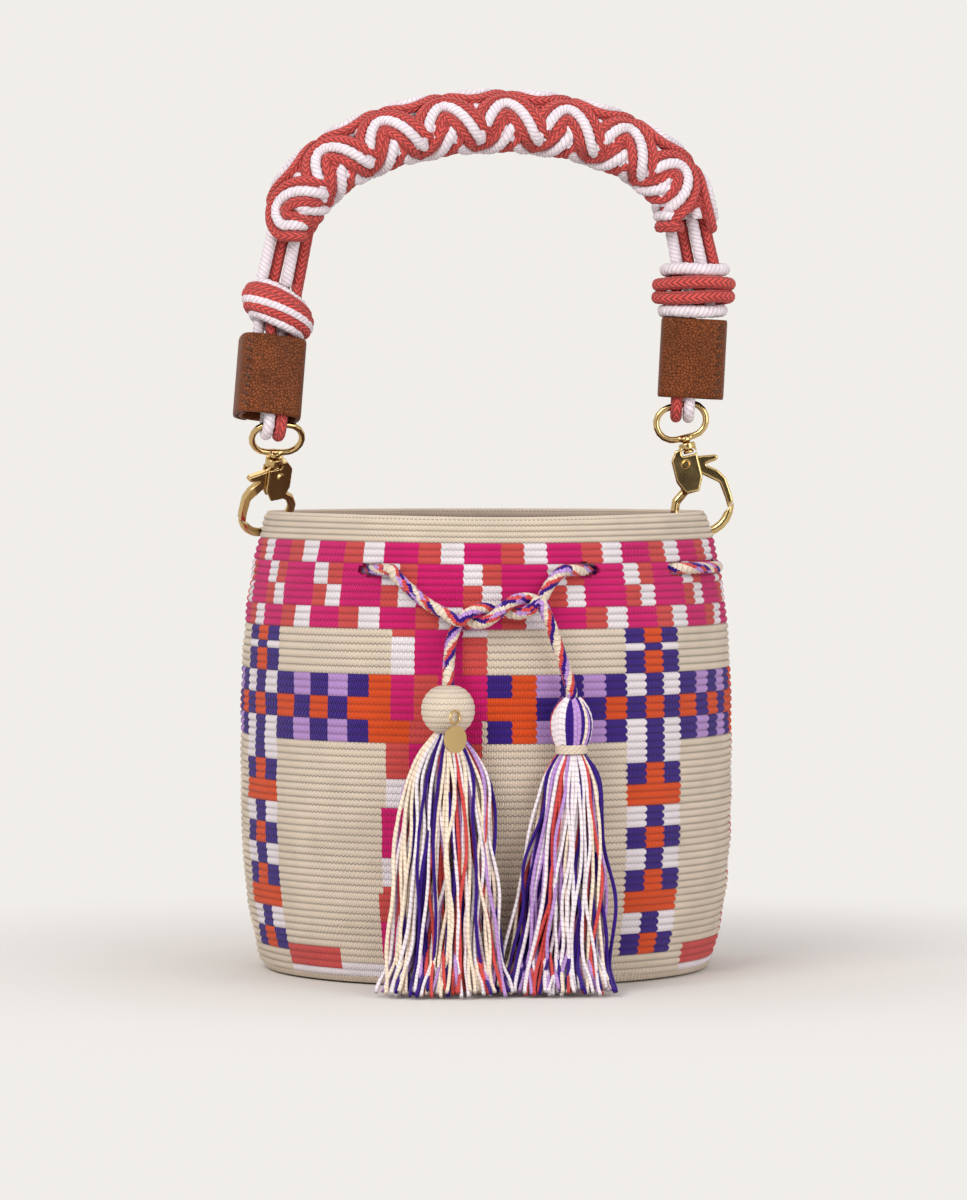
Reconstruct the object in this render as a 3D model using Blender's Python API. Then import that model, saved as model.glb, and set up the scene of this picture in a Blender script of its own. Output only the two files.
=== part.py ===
"""Round crocheted bucket bag with a drawstring, two tassels and a short macrame handle.

Blender 4.5, metres, +Z up. The bag stands on its flat base at Z = 0, centred on the Z axis,
and its front faces -Y. Run with blender --background --python part.py.
"""

import math

import bmesh
import bpy
from mathutils import Matrix, Vector

# Crocheted body
BODY_HEIGHT = 0.1948
BASE_RADIUS = 0.0963
BELLY_RADIUS = 0.1058
BELLY_HEIGHT = 0.0900
MOUTH_RADIUS = 0.0950
WALL = 0.0032
BASE_THICKNESS = 0.0035
CORNER_RADIUS = 0.0030
RIDGE_PITCH = 0.0061
RIDGE_DEPTH = 0.0008
BODY_SIDES = 36

# Drawstring and its wall holes; angles run from the front towards +X
CORD_DIAMETER = 0.0050
CORD_GAP = 0.0005
CORD_DROP = 0.0223
CORD_HEIGHT = BODY_HEIGHT - CORD_DROP
CORD_HOLE_ANGLES = (24, 53, 76, 106, 130, 160, 184, 214, 238, 332)
CORD_CROSSING = 0.0080
CORD_HOLE_MARGIN_ACROSS = 0.0032
CORD_HOLE_MARGIN_UP = 0.0008

# Free ends of the drawstring: (x, distance in front of the wall, drop below the threaded run)
LEFT_END_START = ((-0.0369, 0.00379, 0.0025), (-0.0312, 0.00329, 0.0079),
                  (-0.0246, 0.0043, 0.0133), (-0.0182, 0.00767, 0.0169))
LEFT_END_FALL = ((0.0262, 0.0117, 0.0215), (0.0297, 0.01021, 0.032),
                 (0.0332, 0.00998, 0.0425), (0.0349, 0.0105, 0.049))
RIGHT_END_START = ((0.0295, 0.00382, 0.0019),
                   (0.0258, 0.00428, 0.0063))
RIGHT_END_FALL = ((-0.0142, 0.00385, 0.0285), (-0.0152, 0.00802, 0.0365),
                  (-0.0156, 0.01192, 0.0435))
TWIST_LEFT = (-0.011, 0.00682, 0.0205)
TWIST_RIGHT = (0.022, 0.00961, 0.0125)
TWIST_TURNS = 1
TWIST_STEPS = 12
CORD_SPACING = 0.0110
END_SPACING = 0.0040

# Left tassel and its charm
BALL_RADIUS = 0.0113
BALL_HEIGHT = 0.0205
CHARM_DIAMETER = 0.0112
CHARM_THICKNESS = 0.0012
CHARM_TURN = 40
CHARM_SIDE = 0.0030
CHARM_DROP = 0.0025
CHARM_RING_DIAMETER = 0.0052
CHARM_RING_WIRE = 0.0011

# Right tassel
HEAD_WIDTH = 0.0172
HEAD_DEPTH = 0.0150
HEAD_HEIGHT = 0.0190
BINDING_WIDTH = 0.0138
BINDING_HEIGHT = 0.0042

# Skirts of both tassels
SKIRT_NECK = 0.0115
SKIRT_WIDTH = 0.0410
SKIRT_DEPTH = 0.0200
SKIRT_TOE = 0.0340
SKIRT_TOE_HEIGHT = 0.0085
SKIRT_FOLDS = 9
FLOOR_GAP = 0.0003

# Handle: one knotted arch between the rope stretches of both sides
ROPE_DIAMETER = 0.0050
ARCH_RISE = 0.0440
KNOT_PITCH = 0.0150
SINNET_WIDTH = 0.0300
SINNET_THICKNESS = 0.0195
SINNET_TILT = 30
SINNET_SIDES = 14
SINNET_NARROWING = 0.14
SINNET_THINNING = 0.22
SINNET_RELIEF = 0.0022
SLICES_PER_KNOT = 4
ROPE_ROW_PITCH = 0.0054
ROPE_END_INSET = 0.0009
ROPE_ZIGZAG = 0.0016

# Leather sleeves
SLEEVE_WIDTH = 0.0262
SLEEVE_DEPTH = 0.0190
SLEEVE_HEIGHT = 0.0340
SLEEVE_ROUNDNESS = 0.6
LEATHER = 0.0018
SLEEVE_OVERLAP = 0.0110
SHEET_START = -25
SEAM_TURN = 0.945
STITCH_THREAD = 0.0009
STITCH_INSET = 0.0030

# Stopper knots, each with three wound turns, and the bare rope above them
LEFT_KNOT_WIDTH = 0.0320
LEFT_KNOT_HEIGHT = 0.0250
LEFT_STRETCH = 0.0230
RIGHT_KNOT_WIDTH = 0.0366
RIGHT_KNOT_HEIGHT = 0.0238
RIGHT_STRETCH = 0.0190
KNOT_TURNS = 3
KNOT_TURN_RELIEF = 0.0022

# Swivel clasps: each is built upright from the lowest point of its hook
CLASP_REACH = 0.0487
EYE_WIDTH = 0.0247
EYE_HEIGHT = 0.0172
EYE_WIRE = 0.0030
STEM_DIAMETER = 0.0030
STEM_HEAD = 0.0048
STEM_HEAD_HEIGHT = 0.0014
COLLAR_DIAMETER = 0.0074
COLLAR_HEIGHT = 0.0029
PLATE_WIDTH = 0.0116
PLATE_THICKNESS = 0.0060
PLATE_HEIGHT = 0.0194
PLATE_OFFSET = -0.0025
HOOK_WIRE = 0.0040
HOOK_RADIUS = 0.0120
LEVER_THICKNESS = 0.0030
HUB_RADIUS = 0.0036
RIVET_DIAMETER = 0.0022
RIVET_HEAD = 0.0036
PLATE_WALL = 0.0009
SPRING_LEAF = 0.0004

# Where the clasps hang in the wall, and how each leans
HOOK_HOLE_DROP = 0.0078
HOOK_HOLE_HEIGHT = BODY_HEIGHT - HOOK_HOLE_DROP
HOOK_HOLE_DIAMETER = 0.0078
RUNNING_GAP = 0.0003

CUTTER_REACH = 0.0300


class Side:
    """The places and angles that differ between the two ends of the handle."""

    def __init__(self, name, sign, lean_in, lean_forward, turns, sleeve_lean, knot_size, knot_slant, stretch):
        self.name = name
        self.sign = sign
        self.lean_in = lean_in
        self.lean_forward = lean_forward
        self.hook_turn, self.eye_turn = turns
        self.sleeve_lean = sleeve_lean
        self.knot_width, self.knot_height = knot_size
        self.knot_slant = knot_slant
        self.stretch = stretch


LEFT = Side("left", -1, 8, 34, (30, 10), (-12, 4), (LEFT_KNOT_WIDTH, LEFT_KNOT_HEIGHT), 34, LEFT_STRETCH)
RIGHT = Side("right", 1, 14, 0, (0, 0), (0, 3), (RIGHT_KNOT_WIDTH, RIGHT_KNOT_HEIGHT), 6, RIGHT_STRETCH)

COLOURS = {
    "natural_yarn": ((0.78, 0.68, 0.50), 0.9, 0.0),
    "cord_yarn": ((0.33, 0.05, 0.40), 0.9, 0.0),
    "coral_rope": ((0.72, 0.12, 0.11), 0.9, 0.0),
    "white_rope": ((0.85, 0.80, 0.80), 0.9, 0.0),
    "brown_leather": ((0.15, 0.07, 0.03), 0.55, 0.0),
    "gold": ((0.85, 0.62, 0.25), 0.2, 1.0),
    "tan_thread": ((0.45, 0.27, 0.12), 0.8, 0.0),
}


def clear_scene():
    for thing in list(bpy.data.objects):
        bpy.data.objects.remove(thing)


def material(name):
    found = bpy.data.materials.get(name)
    if found:
        return found
    colour, roughness, metallic = COLOURS[name]
    made = bpy.data.materials.new(name)
    made.use_nodes = True
    shader = made.node_tree.nodes["Principled BSDF"]
    shader.inputs["Base Color"].default_value = (*colour, 1.0)
    shader.inputs["Roughness"].default_value = roughness
    shader.inputs["Metallic"].default_value = metallic
    return made


def empty(name, matrix, parent=None):
    """An axis or frame that pieces are parented to, given in world space."""
    made = bpy.data.objects.new(name, None)
    bpy.context.scene.collection.objects.link(made)
    if parent:
        made.parent = parent
        made.matrix_parent_inverse = parent.matrix_world.inverted()
    made.matrix_world = matrix
    bpy.context.view_layer.update()
    return made


def add_mesh(name, mesh, colour, parent=None, matrix=None):
    """Links a bmesh as an object; matrix places it relative to its parent."""
    data = bpy.data.meshes.new(name)
    bmesh.ops.recalc_face_normals(mesh, faces=mesh.faces)
    mesh.to_mesh(data)
    mesh.free()
    data.materials.append(material(colour))
    data.shade_smooth()
    data.set_sharp_from_angle(angle=math.radians(40))
    made = bpy.data.objects.new(name, data)
    bpy.context.scene.collection.objects.link(made)
    made.parent = parent
    made.matrix_local = matrix or Matrix()
    return made


def cut(target, cutter):
    """Cuts a hidden helper out of the target."""
    cutter.hide_render = True
    cutter.display_type = "WIRE"
    change = target.modifiers.new(cutter.name, "BOOLEAN")
    change.operation = "DIFFERENCE"
    change.solver = "EXACT"
    change.object = cutter


def fuse(target, other, operation="UNION"):
    """Joins a hidden helper to the target, or keeps only what both share."""
    cut(target, other)
    target.modifiers[-1].operation = operation


def loft(rings, capped=True):
    """A closed skin through rings of equally many points; capped ends are flat faces."""
    mesh = bmesh.new()
    rows = [[mesh.verts.new(point) for point in ring] for ring in rings]
    pairs = list(zip(rows, rows[1:]))
    if not capped:
        pairs.append((rows[-1], rows[0]))
    for low, high in pairs:
        for i in range(len(low)):
            j = (i + 1) % len(low)
            mesh.faces.new((low[i], low[j], high[j], high[i]))
    if capped:
        mesh.faces.new(rows[0][::-1])
        mesh.faces.new(rows[-1])
    return mesh


def circle(radius, z, sides):
    steps = [2 * math.pi * i / sides for i in range(sides)]
    return [Vector((radius * math.cos(a), radius * math.sin(a), z)) for a in steps]


def oval(centre, across, up, sides, lobes=0, relief=0.0):
    """Points of an ellipse with half axes across and up, optionally fluted."""
    points = []
    for i in range(sides):
        a = 2 * math.pi * i / sides
        size = 1 + relief * math.cos(lobes * a)
        points.append(centre + across * (size * math.cos(a)) + up * (size * math.sin(a)))
    return points


def cylinder(radius, low, high, sides=16):
    return loft([circle(radius, low, sides), circle(radius, high, sides)])


def lying_cylinder(radius, x, z, half_length, sides=16):
    """A cylinder along Y with its axis at (x, z)."""
    rings = []
    for y in (-half_length, half_length):
        rings.append([Vector((x + p.x, y, z + p.y)) for p in circle(radius, 0, sides)])
    return loft(rings)


def block(low, high):
    mesh = bmesh.new()
    bmesh.ops.create_cube(mesh, size=1)
    size = Vector(high) - Vector(low)
    middle = (Vector(high) + Vector(low)) / 2
    for vert in mesh.verts:
        vert.co = Vector((vert.co.x * size.x, vert.co.y * size.y, vert.co.z * size.z)) + middle
    return mesh


def slab(outline, thickness):
    """An outline in the XZ plane given thickness along Y."""
    rings = []
    for y in (-thickness / 2, thickness / 2):
        rings.append([Vector((x, y, z)) for x, z in outline])
    return loft(rings)


def spline(points, spacing):
    """Evenly spaced points of a smooth curve through the given ones."""
    knots = [Vector(p) for p in points]
    ends = [2 * knots[0] - knots[1], *knots, 2 * knots[-1] - knots[-2]]
    fine = []
    for a, b, c, d in zip(ends, ends[1:], ends[2:], ends[3:]):
        for step in range(12):
            t = step / 12
            fine.append(0.5 * (2 * b + (c - a) * t + (2 * a - 5 * b + 4 * c - d) * t**2
                               + (3 * b - a - 3 * c + d) * t**3))
    fine.append(knots[-1])
    lengths = [0.0]
    for a, b in zip(fine, fine[1:]):
        lengths.append(lengths[-1] + (b - a).length)
    count = max(2, round(lengths[-1] / spacing))
    even = []
    for k in range(count + 1):
        wanted = lengths[-1] * k / count
        i = min(len(fine) - 2, max(j for j, done in enumerate(lengths) if done <= wanted + 1e-12))
        span = lengths[i + 1] - lengths[i]
        even.append(fine[i].lerp(fine[i + 1], (wanted - lengths[i]) / span if span else 0))
    return even


def cord(name, points, colour, parent, diameter=CORD_DIAMETER, resolution=2):
    """A round tube along the points with closed ends."""
    data = bpy.data.curves.new(name, "CURVE")
    data.dimensions = "3D"
    data.bevel_depth = diameter / 2
    data.bevel_resolution = resolution
    data.use_fill_caps = True
    line = data.splines.new("POLY")
    line.points.add(len(points) - 1)
    for place, point in zip(line.points, points):
        place.co = (*point, 1)
    data.materials.append(material(colour))
    made = bpy.data.objects.new(name, data)
    bpy.context.scene.collection.objects.link(made)
    made.parent = parent
    return made


def sweep(path, radius, sides=10, closed=False):
    """A round wire along a path that lies in the XZ plane."""
    rings = []
    count = len(path)
    for i, point in enumerate(path):
        before = path[i - 1] if i or closed else point
        after = path[(i + 1) % count] if i + 1 < count or closed else point
        along = (after - before).normalized()
        side = Vector((along.z, 0, -along.x))
        rings.append(oval(point, side * radius, Vector((0, radius, 0)), sides))
    return loft(rings, capped=not closed)


def flare(z):
    """Outer radius of the wall at a height."""
    if z < BELLY_HEIGHT:
        return BELLY_RADIUS - (BELLY_RADIUS - BASE_RADIUS) * ((BELLY_HEIGHT - z) / BELLY_HEIGHT) ** 3
    rise = (z - BELLY_HEIGHT) / (BODY_HEIGHT - BELLY_HEIGHT)
    return BELLY_RADIUS - (BELLY_RADIUS - MOUTH_RADIUS) * rise**3


def body_rings():
    """Rings from the middle of the inner base, up inside, over the rim and down to the outer base."""
    sides = BODY_SIDES
    inner_floor = flare(BASE_THICKNESS) - WALL
    rings = [circle(inner_floor * share, BASE_THICKNESS, sides) for share in (0.5, 0.97)]
    inner_levels = 9
    for i in range(inner_levels + 1):
        z = BASE_THICKNESS + CORNER_RADIUS + (BODY_HEIGHT - 2 * BASE_THICKNESS - CORNER_RADIUS) * i / inner_levels
        rings.append(circle(flare(z) - WALL, z, sides))
    rings.append(circle(flare(BODY_HEIGHT) - WALL * 0.7, BODY_HEIGHT, sides))
    rings.append(circle(flare(BODY_HEIGHT) - WALL * 0.3, BODY_HEIGHT, sides))
    ridges = round((BODY_HEIGHT - CORNER_RADIUS) / RIDGE_PITCH)
    pitch = (BODY_HEIGHT - CORNER_RADIUS) / ridges
    for i in range(ridges, 0, -1):
        crest = CORNER_RADIUS + pitch * (i - 0.5)
        groove = CORNER_RADIUS + pitch * (i - 1)
        rings.append(circle(flare(crest), crest, sides))
        rings.append(circle(flare(groove) - RIDGE_DEPTH, groove, sides))
    corner = flare(0) - RIDGE_DEPTH
    rings.append(circle(corner - CORNER_RADIUS * 0.3, CORNER_RADIUS * 0.3, sides))
    rings.append(circle(corner - CORNER_RADIUS, 0, sides))
    rings.append(circle(corner * 0.5, 0, sides))
    return rings


def radial_frame(angle, height):
    """A frame on the wall's axis whose X points outwards at this angle from the front."""
    return Matrix.Translation((0, 0, height)) @ Matrix.Rotation(math.radians(angle - 90), 4, "Z")


def wall_cutter(name, angle, radius, height, half_width, half_height):
    """A stadium-like pin through the wall at one angle."""
    rings = []
    for reach in (-CUTTER_REACH / 2, CUTTER_REACH / 2):
        centre = Vector((radius + reach, 0, 0))
        rings.append(oval(centre, Vector((0, half_width, 0)), Vector((0, 0, half_height)), 12))
    made = add_mesh(name, loft(rings), "natural_yarn")
    made.matrix_world = radial_frame(angle, height)
    return made


def make_body(root):
    body = add_mesh("crochet_body", loft(body_rings()), "natural_yarn", root)
    radius = flare(CORD_HEIGHT) - WALL / 2
    half_up = CORD_DIAMETER / 2 + CORD_HOLE_MARGIN_UP
    half_across = CORD_DIAMETER * 0.75 + CORD_HOLE_MARGIN_ACROSS
    for angle in CORD_HOLE_ANGLES:
        cut(body, wall_cutter(f"cord_hole_{angle}", angle, radius, CORD_HEIGHT, half_across, half_up))
    half = HOOK_HOLE_DIAMETER / 2
    for side, angle in ((LEFT, -90), (RIGHT, 90)):
        radius = flare(HOOK_HOLE_HEIGHT) - WALL / 2
        cut(body, wall_cutter(f"{side.name}_hook_hole", angle, radius, HOOK_HOLE_HEIGHT, half, half))


def cord_radius(outside):
    """Distance of the threaded cord's middle from the bag's axis."""
    if outside:
        return flare(CORD_HEIGHT) + CORD_GAP + CORD_DIAMETER / 2
    return (flare(CORD_HEIGHT) - WALL) * math.cos(math.pi / BODY_SIDES) - CORD_GAP - CORD_DIAMETER / 2


def threaded_points():
    """The drawstring's way in and out through the wall, from the right front hole round the back."""
    out, back = cord_radius(True), cord_radius(False)
    middle = (out + back) / 2
    half = math.degrees(CORD_CROSSING / middle)
    points = []
    outside = True
    for k, hole in enumerate(CORD_HOLE_ANGLES):
        for share in (-1, -0.5, 0, 0.5, 1):
            swing = (out - back) / 2 * math.sin(math.pi / 2 * share)
            points.append((hole + half * share, middle - swing if outside else middle + swing))
        outside = not outside
        if k + 1 < len(CORD_HOLE_ANGLES):
            start = hole + half
            gap = CORD_HOLE_ANGLES[k + 1] - half - start
            steps = max(2, round(math.radians(gap) * middle / CORD_SPACING))
            for i in range(1, steps):
                points.append((start + gap * i / steps, out if outside else back))
    ring = []
    for angle, radius in points:
        a = math.radians(angle)
        ring.append(Vector((radius * math.sin(a), -radius * math.cos(a), CORD_HEIGHT)))
    return ring


def before_wall(place):
    """A point of a free end, from its side step, its distance in front of the wall and its drop."""
    x, distance, drop = place
    z = CORD_HEIGHT - drop
    return Vector((x, -math.sqrt(flare(z) ** 2 - x**2) - distance, z))


def twist_points(phase):
    """One cord's way round the other, from the left end of the twist to the right one."""
    left, right = before_wall(TWIST_LEFT), before_wall(TWIST_RIGHT)
    along = (right - left).normalized()
    out = Vector((0, -1, 0))
    up = out.cross(along)
    radius = CORD_DIAMETER / 2 + CORD_GAP
    points = []
    for i in range(TWIST_STEPS + 1):
        a = math.radians(phase - 360 * TWIST_TURNS * i / TWIST_STEPS)
        points.append(left.lerp(right, i / TWIST_STEPS) + (up * math.cos(a) + out * math.sin(a)) * radius)
    return points


def free_end_routes():
    """The routes of both free ends, as (left, right)."""
    left_start, left_fall = map(before_wall, LEFT_END_START), map(before_wall, LEFT_END_FALL)
    right_start, right_fall = map(before_wall, RIGHT_END_START), map(before_wall, RIGHT_END_FALL)
    left = [*left_start, *twist_points(90), *left_fall]
    right = [*right_start, *twist_points(-90)[::-1], *right_fall]
    return left, right


def cord_tip(last):
    """The end of a free cord, straight below the last point of its route."""
    return last - Vector((0, 0, CORD_DIAMETER / 2))


def make_drawstring(root):
    """The threaded run, and a free end from each front hole, which starts a hair off the run's end."""
    run = threaded_points()
    cord("drawstring", run, "cord_yarn", root)
    left, right = free_end_routes()
    ends = (("drawstring_right_end", run[0], run[1], right), ("drawstring_left_end", run[-1], run[-2], left))
    for name, tip, before, route in ends:
        onward = (tip - before).normalized()
        start = tip + onward * RUNNING_GAP
        points = [start, *spline([start + onward * CORD_DIAMETER * 0.6, *route], END_SPACING), cord_tip(route[-1])]
        cord(name, points, "cord_yarn", root)


def turned(profile, sides, colour, name, parent, matrix):
    """A round solid from (radius, height) pairs, with flat ends."""
    return add_mesh(name, loft([circle(r, z, sides) for r, z in profile]), colour, parent, matrix)


def hang_depth(x, z, half_width, half_depth):
    """How far in front of the bag's axis a soft piece hangs so that it just clears the wall."""
    nearest = max(0.0, abs(x) - half_width)
    return math.sqrt(flare(z) ** 2 - nearest**2) + half_depth + CORD_GAP


def skirt_rings(top, drift):
    """Fluted rings that fall from the neck, fill out, and turn forward along the ground."""
    half_w, half_d = SKIRT_WIDTH / 2, SKIRT_DEPTH / 2
    toe = SKIRT_TOE_HEIGHT / 2
    drop = top.z - FLOOR_GAP
    stations = (
        (0.00, 0.0, 0.28, 0.57, 0),
        (0.10, 0.1, 0.62, 0.75, 0),
        (0.30, 0.3, 0.92, 0.95, 0),
        (0.55, 0.6, 1.00, 1.00, 0),
        (0.80, 0.9, 0.95, 0.90, 20),
    )
    rings = []
    depth = -top.y
    for fall, across, wide, deep, bend in stations:
        z = top.z - drop * fall
        x = top.x + drift * across
        depth = max(depth, hang_depth(x, z, half_w * wide, half_d * deep * 1.06))
        tilt = math.radians(bend)
        up = Vector((0, -math.cos(tilt), math.sin(tilt))) * half_d * deep
        ring = oval(Vector((x, -depth, z)), Vector((half_w * wide, 0, 0)), up, 2 * SKIRT_FOLDS, SKIRT_FOLDS, 0.06)
        rings.append(ring)
    for forward, wide, bend, lift in ((0.35, 1.0, 55, 0.9), (1.0, 1.12, 90, 0.0)):
        centre = Vector((top.x + drift, -depth - SKIRT_TOE * forward, FLOOR_GAP + toe * (1.06 + lift)))
        tilt = math.radians(bend)
        up = Vector((0, -math.cos(tilt), math.sin(tilt))) * toe
        rings.append(oval(centre, Vector((half_w * wide, 0, 0)), up, 2 * SKIRT_FOLDS, SKIRT_FOLDS, 0.06))
    return rings


def make_left_tassel(root):
    """Ball, skirt and charm, hung from the end of the right-hand cord, which crosses to the left."""
    tip = cord_tip(before_wall(RIGHT_END_FALL[-1]))
    top = tip.z - RUNNING_GAP
    middle = Vector((tip.x, tip.y, top - BALL_HEIGHT / 2))
    profile = []
    for i in range(10):
        a = math.pi * (0.09 + 0.82 * i / 9)
        profile.append((BALL_RADIUS * math.sin(a), math.cos(a) / math.cos(math.pi * 0.09) * BALL_HEIGHT / 2))
    turned(profile[::-1], 16, "natural_yarn", "left_tassel_ball", root, Matrix.Translation(middle))
    neck = Vector((tip.x, tip.y, top - BALL_HEIGHT - RUNNING_GAP))
    add_mesh("left_tassel_skirt", loft(skirt_rings(neck, -0.0030)), "natural_yarn", root)
    make_charm(root, middle)


def make_charm(root, ball_middle):
    """A bare disc that swings on a jump ring at the lower front of the ball."""
    angle = math.radians(CHARM_TURN)
    nearest = CHARM_SIDE + CHARM_RING_DIAMETER / 2 * math.cos(angle)
    surface = math.sqrt(BALL_RADIUS**2 - nearest**2 - CHARM_DROP**2)
    depth = surface + CHARM_RING_DIAMETER / 2 * math.sin(angle) + CHARM_RING_WIRE / 2 + RUNNING_GAP * 1.5
    hinge = ball_middle + Vector((CHARM_SIDE, -depth, -CHARM_DROP))
    axis = empty("charm_axis", Matrix.Translation(hinge), root)
    turn = Matrix.Rotation(angle, 4, "Z")
    ring = [Vector((p.x, 0, p.y)) for p in circle(CHARM_RING_DIAMETER / 2, 0, 12)]
    add_mesh("charm_ring", sweep(ring, CHARM_RING_WIRE / 2, 6, True), "gold", axis, turn)
    drop = CHARM_RING_DIAMETER / 2 + CHARM_RING_WIRE / 2 + RUNNING_GAP + CHARM_DIAMETER / 2
    disc = lying_cylinder(CHARM_DIAMETER / 2, 0, -drop, CHARM_THICKNESS / 2, 20)
    add_mesh("charm_disc", disc, "gold", axis, turn)


def make_right_tassel(root):
    """Folded yarn head, its binding and the skirt, hung from the end of the left-hand cord."""
    tip = cord_tip(before_wall(LEFT_END_FALL[-1]))
    top = tip.z - RUNNING_GAP
    rings = []
    for share, size in ((0, 0.35), (0.12, 0.75), (0.35, 1.0), (0.7, 0.98), (1, 0.74)):
        centre = Vector((tip.x, tip.y, top - HEAD_HEIGHT * share))
        across, up = Vector((HEAD_WIDTH / 2 * size, 0, 0)), Vector((0, HEAD_DEPTH / 2 * size, 0))
        rings.append(oval(centre, across, up, 2 * SKIRT_FOLDS, SKIRT_FOLDS, 0.05))
    add_mesh("right_tassel_head", loft(rings), "cord_yarn", root)
    low = top - HEAD_HEIGHT - RUNNING_GAP
    half = BINDING_WIDTH / 2
    profile = ((half * 0.92, 0), (half, BINDING_HEIGHT * 0.3), (half, BINDING_HEIGHT * 0.7), (half * 0.92, BINDING_HEIGHT))
    place = Matrix.Translation((tip.x, tip.y, low - BINDING_HEIGHT))
    turned(profile, 16, "natural_yarn", "right_tassel_binding", root, place)
    neck = Vector((tip.x, tip.y, low - BINDING_HEIGHT - RUNNING_GAP))
    add_mesh("right_tassel_skirt", loft(skirt_rings(neck, -0.0060)), "cord_yarn", root)


def clasp_frame(side, turned_by):
    """The clasp's frame: Z up its swivel axis from the hook's lowest point, X towards the gate."""
    hole = Vector((side.sign * (flare(HOOK_HOLE_HEIGHT) - WALL / 2), 0, HOOK_HOLE_HEIGHT))
    turn = turned_by + (180 if side.sign < 0 else 0)
    lean = Matrix.Rotation(math.radians(side.lean_forward), 4, "X")
    lean = lean @ Matrix.Rotation(math.radians(-side.sign * side.lean_in), 4, "Y")
    return Matrix.Translation(hole) @ lean @ Matrix.Rotation(math.radians(turn), 4, "Z")


def eye_path():
    """The obround eye, clockwise from its top, round a centre at the clasp's reach."""
    radius = (EYE_HEIGHT - EYE_WIRE) / 2
    straight = (EYE_WIDTH - EYE_HEIGHT) / 2
    path = []
    for sign in (1, -1):
        for i in range(9):
            a = math.radians(90 - 180 * i / 8)
            path.append(Vector((sign * (straight + radius * math.cos(a)), 0,
                                CLASP_REACH + sign * radius * math.sin(a))))
    return path


def stem_levels():
    """Heights of the eye's lower edge, the collar's top and bottom, and the stem head's bottom."""
    eye_low = CLASP_REACH - EYE_HEIGHT / 2
    collar_top = eye_low - RUNNING_GAP * 3
    collar_low = collar_top - COLLAR_HEIGHT
    head_low = collar_low - RUNNING_GAP - STEM_HEAD_HEIGHT
    return eye_low, collar_top, collar_low, head_low


def make_eye(side, frame, handle):
    """The eye with the headed stem that swivels in the hook's collar."""
    eye = add_mesh(f"{side.name}_clasp_eye", sweep(eye_path(), EYE_WIRE / 2, 8, True), "gold", handle)
    eye.matrix_world = frame
    eye_low, _, collar_low, head_low = stem_levels()
    stem = STEM_DIAMETER / 2
    head = STEM_HEAD / 2
    head_top = collar_low - RUNNING_GAP
    profile = ((head, head_low), (head, head_top), (stem, head_top), (stem, eye_low - RUNNING_GAP),
               (stem * 1.8, eye_low - RUNNING_GAP / 2), (stem * 1.8, eye_low + EYE_WIRE * 0.6))
    post = turned(profile, 12, "gold", f"{side.name}_stem", handle, Matrix())
    post.matrix_world = frame
    fuse(eye, post)
    return eye


def hook_path():
    """The hook's wire: from inside the plate, down the inner side, round to its tip."""
    low = hook_plate_low()
    start = PLATE_OFFSET - HOOK_WIRE / 2
    path = [Vector((start, 0, low + HOOK_WIRE)), Vector((start - HOOK_WIRE * 0.35, 0, low + HOOK_WIRE * 0.3)),
            Vector((-HOOK_RADIUS * 0.86, 0, (low + HOOK_RADIUS) / 2 + HOOK_WIRE * 0.25))]
    for i in range(13):
        a = math.radians(180 + 15 * i)
        path.append(Vector((HOOK_RADIUS * math.cos(a), 0, HOOK_RADIUS + HOOK_RADIUS * math.sin(a))))
    return path


def hook_plate_low():
    return stem_levels()[2] + COLLAR_HEIGHT * 0.3 - PLATE_HEIGHT


def rivet_point():
    """The trigger's pivot in the plate."""
    return Vector((PLATE_OFFSET, 0, hook_plate_low() + PLATE_HEIGHT * 0.65))


def gate_reach():
    """Distance from the pivot to where the gate meets the hook's tip."""
    tip = Vector((HOOK_RADIUS * math.cos(math.radians(18)), 0, HOOK_RADIUS * (1 - math.sin(math.radians(18)))))
    return (tip - rivet_point()).length


def plate_outline():
    half = PLATE_WIDTH / 2
    low, high = hook_plate_low(), hook_plate_low() + PLATE_HEIGHT
    left, right = PLATE_OFFSET - half, PLATE_OFFSET + half
    return ((left + half * 0.45, low), (right - half * 0.5, low), (right, low + half), (right, high - half * 0.4),
            (right - half * 0.35, high), (left + half * 0.5, high), (left, high - half * 0.7), (left, low + half))


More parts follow.
